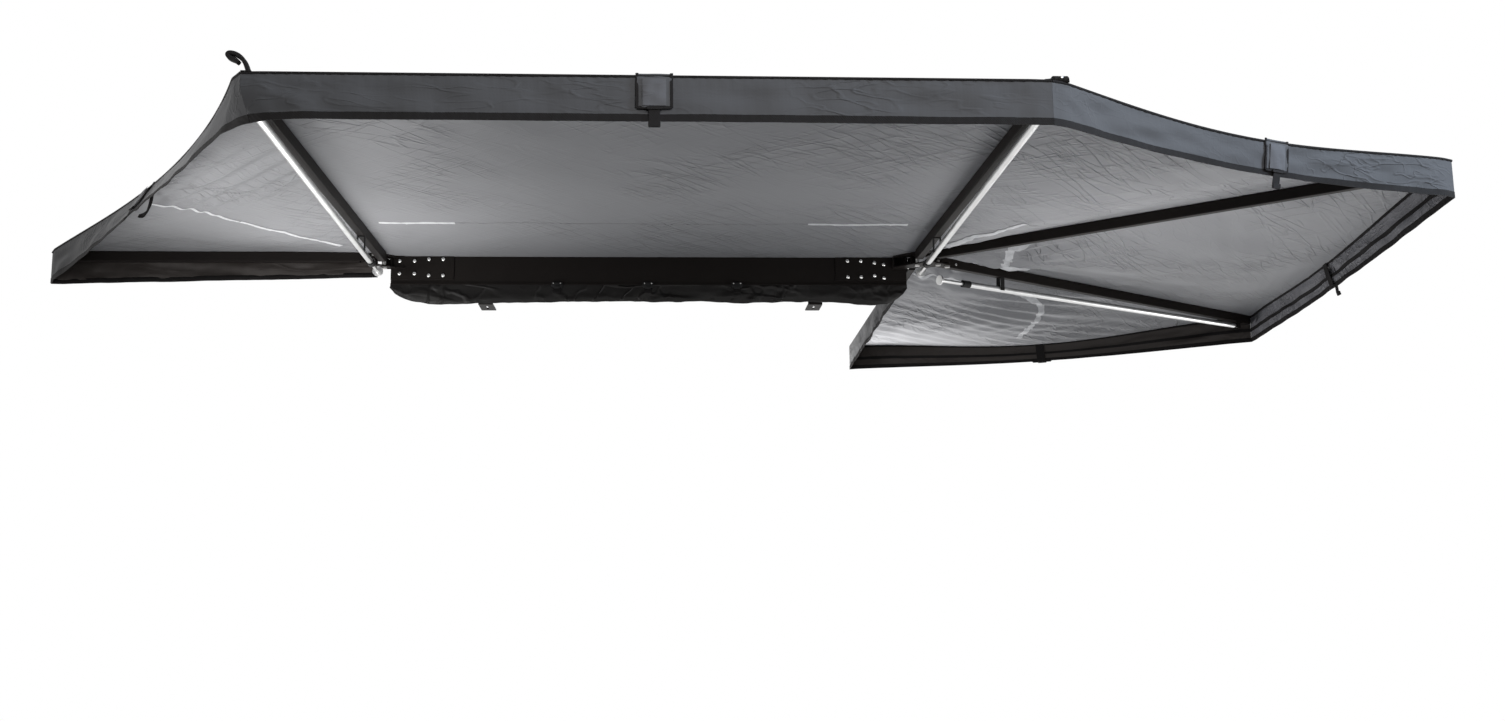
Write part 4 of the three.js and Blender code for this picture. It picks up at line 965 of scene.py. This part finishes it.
def addTab(key):
    edge = edges[key]
    node = f"valance_{edge['name']}"
    share = edge["looks"].get("tabShare", 0.5)
    top, hem, out = valanceFrame(edge, np.array([share]))
    half = int(share > 0.5)
    along = np.array([*unit(edge["chord"]), 0.0])
    up = unit(top[0] - hem[0])
    base = top[0]
    seed = edge["arms"][1]

    def spot(side, down, lift):  # points of the tab, from its place on the edge's top line
        side, down, lift = (np.asarray(v, float)[..., None] for v in (side, down, lift))
        return base + along * side - up * down + out * (tab["standOff"] + lift)

    def grid(width, start, height, rows, columns):
        return np.meshgrid(np.linspace(start, start + height, rows),
                           np.linspace(-width / 2, width / 2, columns), indexing="ij")

    def strap(start, size, line):
        down, lift = np.array(line).T
        shapes.append((sweptMesh(spot(0, start + down, lift), along, out, stripProfile(*size)), 0))

    w, above = tab["width"] / 2, tab["above"]
    bottom = tab["height"] - above
    down, side = grid(tab["width"], -above, tab["height"], 16, 14)
    swell = tab["swell"] * hollow((down + above) / tab["height"]) * hollow((side + w) / (2 * w))
    swell -= tab["tuck"] * smoothStep(1 - (down + above) / tab["tuckDepth"])  # the flap is sewn in at the top
    swell += tab["ripple"] * softNoise(side, down, tab["rippleSize"], 80 + seed)
    flap = clothPiece(f"{node}_tab_flap", spot(side, down, swell + tab["thickness"]), spot(side, down, swell),
                      [outerCloth])
    shapes = []
    ring = [(-w, -above), (-w, bottom), (w, bottom), (w, -above)]
    share = np.linspace(0, 1, 12)
    for (x0, d0), (x1, d1) in zip(ring, ring[1:]):
        down = d0 + (d1 - d0) * share
        lift = np.where(down > tab["tuckDepth"], tab["bindingLift"], tab["bindingTuck"])
        line = spot(x0 + (x1 - x0) * share, down, lift)
        shapes.append((sweptMesh(line, along if x0 == x1 else up, out, stripProfile(*tab["binding"])), 0))
    strapDrop = min(tab["strapDrop"], base[2] - bottom - tab["lowest"])
    strap(bottom, tab["strap"], [tab["strapRoot"]] + [(strapDrop * f, lift) for f, lift in tab["strapLine"]])
    strap(bottom + strapDrop, *tab["foldedEnd"])
    strap(bottom, *tab["keeper"])
    strap(0, *tab["sewnInside"])
    if key == "front":  # two loose strap ends hang in a curve on the canopy's side
        share = np.linspace(0, 1, 14)
        downTurn, backTurn = tab["loopTurns"]
        for reach, swing in tab["loops"]:
            down = tab["loopTop"] + swing * np.sin(share * downTurn) + tab["loopFall"] * share
            lift = -tab["loopBehind"] * (1 + np.sin(share * backTurn))
            line = spot(reach * share, down, lift)
            shapes.append((sweptMesh(line, out, up, stripProfile(*tab["loop"])), 0))
    binding = joinedPiece(f"{node}_tab_binding", shapes, [webbing])
    down, side = grid(tab["panelWidth"], tab["panelDown"], tab["panelHeight"], 14, 12)
    puff = hollow((down - tab["panelDown"]) / tab["panelHeight"]) * hollow(side / tab["panelWidth"] + 0.5)
    puff = tab["puff"] * puff ** tab["puffPower"] + tab["panelLift"]
    puff += tab["ripple"] * softNoise(side, down, tab["panelRipple"], 90 + seed)
    panel = clothPiece(f"{node}_tab_panel", spot(side, down, puff + tab["thickness"]), spot(side, down, puff),
                       [tabCloth])
    for piece, slotName in ((flap, "grey_cloth"), (binding, "black_cover"), (panel, "grey_cloth")):
        gather(piece, edge["arms"][half])


for key in edges:
    addTab(key)
print("tabs and buckles made")

# Webbing loop at the front centre corner: it stands up and curls over towards the front. Its line is in
# shares of the solid's width and height, out along the upper run and back along the lower one.
loopLooks = {"width": 0.026, "thickness": 0.0135, "corner": 0.22, "foot": (0.034, 0.03, 0.004),
             "footEdge": 0.0015, "footShare": 0.8,
             "line": ((0.88, 0.0), (0.82, 0.2), (0.76, 0.4), (0.66, 0.6), (0.50, 0.78), (0.32, 0.88),
                      (0.14, 0.9), (0.08, 0.82), (0.14, 0.7), (0.26, 0.62), (0.4, 0.56), (0.5, 0.46))}


def addCornerLoop():
    low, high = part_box("corner_loop")
    y = (low.y + high.y) / 2
    width, height = high.x - low.x, high.z - low.z
    curve = np.array([(low.x + x * width, y, low.z + z * height) for x, z in loopLooks["line"]])
    for _ in range(2):  # rounds the line's corners
        between = [curve[0]]
        for a, b in zip(curve, curve[1:]):
            between += [a * 0.75 + b * 0.25, a * 0.25 + b * 0.75]
        curve = np.array(between + [curve[-1]])
    normal = np.cross(unit(np.gradient(curve, axis=0)), (0, 1, 0))
    profile = stripProfile(loopLooks["width"], loopLooks["thickness"], loopLooks["corner"])
    foot = (low.x + loopLooks["footShare"] * width, y, low.z + loopLooks["foot"][2] / 2)
    shapes = [(sweptMesh(curve, (0, 1, 0), normal, profile), 0),
              (roundedBox(loopLooks["foot"], foot, loopLooks["footEdge"]), 0)]
    piece = joinedPiece("corner_loop_webbing", shapes, [webbing])
    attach(piece, "second_arm")
    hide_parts("corner_loop")


addCornerLoop()

# Knotted strap at the rear centre corner: a lump of wound webbing with a bright rivet
knotLooks = {"place": (0.036, 0.018, 0.011), "length": 0.0464, "turns": 3, "points": 60,
             "radii": (0.009, 0.0085), "strap": (0.018, 0.004), "core": 0.008, "coreSpan": (-0.03, 0.026),
             "tailStrap": (0.02, 0.003),
             "tail": ((-0.028, 0.0, 0.0), (-0.045, -0.008, -0.006), (-0.06, -0.014, -0.0095)),
             "rivet": (0.004, 0.002), "rivetPlace": (0.0, -0.0125, 0.003)}


def addKnot():
    centre = np.array([corners[2][0], corners[2][1], cadRoofTop]) + knotLooks["place"]
    turn = np.linspace(0, 2 * math.pi * knotLooks["turns"], knotLooks["points"])
    wideness, tallness = knotLooks["radii"]
    wind = np.stack([(turn / turn[-1] - 0.5) * knotLooks["length"], np.cos(turn) * wideness,
                     np.sin(turn) * tallness], -1)
    outwards = unit(wind * [0, 1, 1])
    across = np.cross(unit(np.gradient(wind, axis=0)), outwards)
    x = np.linspace(*knotLooks["coreSpan"], 12)
    core = np.stack([x, 0 * x, 0.002 * np.sin(np.linspace(0, 5, 12))], -1)
    shapes = [(sweptMesh(wind + centre, across, outwards, stripProfile(*knotLooks["strap"])), 0),
              (sweptMesh(core + centre, (0, 1, 0), (0, 0, 1), roundProfile(knotLooks["core"], 10)), 0),
              (sweptMesh(np.array(knotLooks["tail"]) + centre, (0, 1, 0), (0, 0, 1),
                         stripProfile(*knotLooks["tailStrap"])), 0),
              (roundStud(*knotLooks["rivet"], centre + knotLooks["rivetPlace"], (0, -1, 0.2), 12), 1)]
    piece = joinedPiece("corner_knot", shapes, [webbing, zinc])
    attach(piece, "third_arm")


addKnot()

# Seam tapes on the underside: crinkled films, bright on the front wing; behind they are wider and greyer,
# with painted shade and dust
tapes = {
    "thickness": 0.0008, "clear": 0.0002, "wingClear": 0.0013,  # gaps that keep the film clear of the cloth
    "step": 0.008, "ragged": 0.22, "raggedSize": 0.05, "wobble": 0.0025, "wobbleSize": 0.12,
    "crinkle": 0.0022, "crinkleSize": 0.03, "smoothing": 15, "centreY": -0.665,
    "centre": [  # start and end along x, width, waver, seed and material: tape, or the seam's own cloth
        (-1.19, -0.86, 0.026, 0.0, 31, 0), (0.70, 1.15, 0.026, 0.0, 31, 0),
        (-0.86, 0.70, 0.012, 0.004, 37, 1)],
    "wings": [  # edge, width, kind (bright, or greyer with painted shade and dust) and shares (along the edge, out from the hub)
        ("front", 0.019, "bright", (
            (0.575, 0.955), (0.568, 0.93), (0.551, 0.905), (0.53, 0.85), (0.516, 0.79), (0.512, 0.74),
            (0.506, 0.69), (0.496, 0.645), (0.485, 0.57), (0.468, 0.495), (0.474, 0.43), (0.472, 0.385),
            (0.482, 0.30), (0.485, 0.21))),
        ("rear1", 0.024, "dust_and_shade", (
            (0.452, 0.12), (0.43, 0.2), (0.43, 0.243), (0.462, 0.27), (0.486, 0.29), (0.492, 0.33),
            (0.494, 0.40))),
        ("rear2", 0.036, "dust_and_shade", (
            (0.10, 0.295), (0.145, 0.272), (0.185, 0.247), (0.224, 0.226), (0.38, 0.224), (0.61, 0.223),
            (0.74, 0.24))),
        ("rear2", 0.03, "bright", ((0.90, 0.10), (0.885, 0.15), (0.90, 0.19), (0.89, 0.25), (0.90, 0.30))),
        ("rear3", 0.036, "dust_and_shade", (
            (0.93, 0.19), (0.80, 0.19), (0.556, 0.196), (0.366, 0.249), (0.307, 0.332), (0.285, 0.423),
            (0.272, 0.475), (0.288, 0.536), (0.325, 0.596), (0.372, 0.651), (0.443, 0.737), (0.485, 0.799),
            (0.52, 0.858)))]}


# A ribbon whose edges waver and whose middle puckers; heights lays it into the folds on either side
def ribbonShape(line, width, seed, heights=None):
    across = np.cross(unit(np.gradient(line, axis=0) * [1, 1, 0]), (0, 0, 1))
    along = distances(line)
    shares = np.linspace(-0.5, 0.5, 5)[None]
    widths = width * (1 + tapes["ragged"] * softNoise(along, 0 * along, tapes["raggedSize"], seed))
    wobble = tapes["wobble"] * softNoise(along, 0 * along, tapes["wobbleSize"], seed + 1)
    middle = line + across * wobble[:, None]
    grid = middle[:, None] + across[:, None] * (shares * widths[:, None])[..., None]
    if heights:
        grid[..., 2] = heights(grid[..., :2] - line[:, None, :2])
    lift = tapes["crinkle"] * softNoise(along[:, None], shares * 0.05, tapes["crinkleSize"], seed + 2)
    grid[..., 2] -= np.clip(lift * (1 - np.abs(shares) * 1.6), 0, None)
    return closedSheet(grid + [0, 0, tapes["thickness"]], grid)


def resampled(line, step):
    along = distances(line)
    even = np.linspace(0, along[-1], max(4, int(along[-1] / step)))
    return np.stack([np.interp(even, along, line[:, i]) for i in range(line.shape[1])], -1)


def besideLine(edge, t, s, drop):  # the wing's height at small offsets in plan from a line on it
    small = 1e-4
    byT = (wingSurface(edge, t + small, s) - wingSurface(edge, t - small, s))[:, None, :2] / (2 * small)
    byS = (wingSurface(edge, t, s + small) - wingSurface(edge, t, s - small))[:, None, :2] / (2 * small)
    area = byT[..., 0] * byS[..., 1] - byT[..., 1] * byS[..., 0]

    def heights(offset):
        moreT = (offset[..., 0] * byS[..., 1] - offset[..., 1] * byS[..., 0]) / area
        moreS = (offset[..., 1] * byT[..., 0] - offset[..., 0] * byT[..., 1]) / area
        return wingSurface(edge, t[:, None] + moreT, s[:, None] + moreS)[..., 2] - drop

    return heights


def addCentreTapes(drop):  # each ribbon is shared out among the panel's three parts
    middle = (corners[1] + corners[2]) / 2
    share = (tapes["centreY"] - centreLooks["backY"]) / (middle[1] - centreLooks["backY"])
    firstCut, secondCut = (hub[0] + (middle[0] - hub[0]) * share for hub in (frontHub, rearHub))
    cuts = {"a": (corners[1][0], firstCut), "c": (firstCut, secondCut), "b": (secondCut, corners[2][0])}
    for key, (low, high) in cuts.items():
        shapes = []
        for start, end, width, waver, seed, kind in tapes["centre"]:
            a, b = max(low, start), min(high, end)
            if b - a > tapes["step"] * 2:
                x = np.linspace(a, b, max(4, int((b - a) / tapes["step"])))
                y = tapes["centreY"] + waver * softNoise(x, 0 * x, 0.3, 36)
                line = np.stack([x, y, centreHeight(x, y) - drop], -1)
                shapes.append((ribbonShape(line, width, seed), kind))
        piece = joinedPiece(f"canopy_centre_tape_{key}", shapes, [sealTape, silverCloth])
        rideCentre(piece, key)


def addWingTapes(drop):
    span = tapes["smoothing"]
    for number, (key, width, kind, knots) in enumerate(tapes["wings"]):
        edge = edges[key]
        dense = np.linspace(0, len(knots) - 1, 300)
        t, s = [np.convolve(np.pad(np.interp(dense, np.arange(len(knots)), column), span // 2, mode="edge"),
                            np.ones(span) / span, mode="valid") for column in np.array(knots).T]
        even = resampled(np.concatenate([wingSurface(edge, t, s), t[:, None], s[:, None]], -1), tapes["step"])
        t, s = even[:, 3], even[:, 4]
        line = wingSurface(edge, t, s) - [0, 0, drop]
        for half in (0, 1):
            mine = np.flatnonzero((t >= 0.5) == bool(half))
            runs = [run for run in np.split(mine, np.flatnonzero(np.diff(mine) > 1) + 1) if len(run) >= 4]
            if not runs:
                continue
            shapes = [(ribbonShape(line[run], width, 33 + half, besideLine(edge, t[run], s[run], drop)), 0)
                      for run in runs]
            # tapes of the second kind take the greyer copy of the film: painted shade, with dust
            piece = joinedPiece(f"canopy_{key}_tape_{number}{'ab'[half]}", shapes,
                                [sealTape if kind == "bright" else dustAndShadeTape])
            gather(piece, edge["arms"][half])


below = canopy["thickness"] + tapes["thickness"] + tapes["clear"]
addCentreTapes(below)
addWingTapes(below + tapes["wingClear"])
print("tapes made")

# Stage: a pale floor that fades out at its rim, soft light from below and both sides, white surroundings
stageLooks = {"floorPlace": (0.3, -0.2, -2.65), "floorRadius": 5.0, "floorColour": "#7e7e7f",
              "floorWhiteShare": 0.78, "fadeFrom": 0.45, "worldStrength": 0.03, "white": "#ffffff"}


def seenRays(tree):  # 1 for rays from the camera, and for those seen in metal or glass
    rays = addNode(tree, "LightPath").outputs
    first = addNode(tree, "Math", {"operation": "MAXIMUM"},
                    {0: rays["Is Camera Ray"], 1: rays["Is Glossy Ray"]})
    return addNode(tree, "Math", {"operation": "MAXIMUM"}, {0: first, 1: rays["Is Transmission Ray"]})


def addFloor():
    form = bmesh.new()
    bmesh.ops.create_circle(form, cap_ends=True, segments=96, radius=stageLooks["floorRadius"])
    mesh = bpy.data.meshes.new("studio_floor")
    form.to_mesh(mesh)
    form.free()
    floor = bpy.data.objects.new("studio_floor", mesh)
    floor.location = stageLooks["floorPlace"]
    bpy.context.scene.collection.objects.link(floor)
    # pale paint that the camera and reflections see nearly white, with the shadow left in, and no hard rim
    material, tree, shader = newMaterial("paintedStudioFloor",
                                         {"colour": linear(stageLooks["floorColour"]), "gloss": 0.9})
    place = addNode(tree, "TexCoord").outputs["Object"]
    away = addNode(tree, "VectorMath", {"operation": "LENGTH"}, {0: place})
    fade = addNode(tree, "MapRange", {"interpolation_type": "SMOOTHSTEP"},
                   {0: away.outputs["Value"], 1: stageLooks["floorRadius"] * stageLooks["fadeFrom"],
                    2: stageLooks["floorRadius"]})
    seen = addNode(tree, "Math", {"operation": "MULTIPLY"},
                   {0: seenRays(tree), 1: stageLooks["floorWhiteShare"]})
    white = addNode(tree, "Emission", {}, {"Color": linear(stageLooks["white"]), "Strength": 1.0})
    pale = addNode(tree, "MixShader", {}, {0: seen, 1: shader, 2: white})
    mixed = addNode(tree, "MixShader", {}, {0: fade, 1: pale, 2: addNode(tree, "BsdfTransparent")})
    tree.links.new(mixed.outputs[0], tree.nodes["Material Output"].inputs["Surface"])
    mesh.materials.append(material)


def addWorld():
    world = bpy.data.worlds.new("white_studio")
    world.use_nodes = True
    bpy.context.scene.world = world
    tree = world.node_tree
    tree.nodes.clear()
    pure = linear(stageLooks["white"])
    lit = addNode(tree, "Background", {}, {"Color": pure, "Strength": stageLooks["worldStrength"]})
    white = addNode(tree, "Background", {}, {"Color": pure, "Strength": 1.0})
    mix = addNode(tree, "MixShader", {}, {0: seenRays(tree), 1: lit, 2: white})
    addNode(tree, "OutputWorld", {}, {"Surface": mix})


lights = {
    "left_softbox": {"place": (-2.3, -2.05, -0.58), "aim": (-1.6, -1.5, 0.0), "size": 0.6, "watts": 16},
    "left_fill": {"place": (-1.3, -0.6, -0.8), "aim": (-1.3, -0.8, 0.0), "size": 0.7, "watts": 8.6},
    "right_softbox": {"place": (3.2, -1.3, -1.8), "aim": (1.8, -0.9, 0.0), "size": 1.0, "watts": 13},
    "near_softbox": {"place": (1.9, -1.0, -0.9), "aim": (1.7, -0.9, 0.0), "size": 0.8, "watts": 5.4},
    "rear_softbox": {"place": (4.6, 0.6, -1.2), "aim": (2.6, 0.0, 0.0), "size": 1.0, "watts": 8},
    "back_softbox": {"place": (1.0, 2.6, -0.8), "aim": (1.8, 0.9, 0.0), "size": 0.7, "watts": 52,
                     "mirrored": False},
    "front_panel": {"place": (1.2, -7.2, 1.0), "aim": (0.0, -2.0, 0.0), "size": 3.0, "watts": 230},
    "sky_panel": {"place": (7.4, -4.4, 2.4), "aim": (2.2, -2.0, 0.0), "size": 3.0, "watts": 820,
                  "colour": "#d3e2f4"},
}


def addLights():
    for name, looks in lights.items():
        light = bpy.data.lights.new(name, "AREA")
        light.shape = "DISK"
        light.size = looks["size"]
        light.energy = looks["watts"]
        light.color = linear(looks.get("colour", "#ffffff"))[:3]
        lamp = bpy.data.objects.new(name, light)
        lamp.visible_camera = False
        lamp.visible_glossy = looks.get("mirrored", True)
        lamp.location = looks["place"]
        way = Vector(looks["aim"]) - Vector(looks["place"])
        lamp.rotation_euler = way.to_track_quat("-Z", "Y").to_euler()
        bpy.context.scene.collection.objects.link(lamp)


# Camera: it stands low in front of the long side, looks up a little and leans by under a degree
cameraLooks = {"place": (0.0233, -6.9384, -1.5678), "yaw": 0.0669, "pitch": 0.1612, "roll": -0.0128,
               "lens": 34.706, "sensor": 36.0}


def addCamera():
    yaw, pitch, roll = cameraLooks["yaw"], cameraLooks["pitch"], cameraLooks["roll"]
    ahead = Vector((math.sin(yaw) * math.cos(pitch), math.cos(yaw) * math.cos(pitch), math.sin(pitch)))
    level = Vector((math.cos(yaw), -math.sin(yaw), 0))
    upright = level.cross(ahead)
    right = math.cos(roll) * level + math.sin(roll) * upright
    up = math.cos(roll) * upright - math.sin(roll) * level
    data = bpy.data.cameras.new("view_from_beside")
    data.lens = cameraLooks["lens"]
    data.sensor_width = cameraLooks["sensor"]
    camera = bpy.data.objects.new("view_from_beside", data)
    turn = Matrix((right, up, -ahead)).transposed().to_4x4()
    camera.matrix_world = Matrix.Translation(cameraLooks["place"]) @ turn
    bpy.context.scene.collection.objects.link(camera)
    bpy.context.scene.camera = camera


addFloor()
addWorld()
addLights()
addCamera()
bpy.context.scene.view_settings.view_transform = "Standard"
print("stage, lights and camera set")
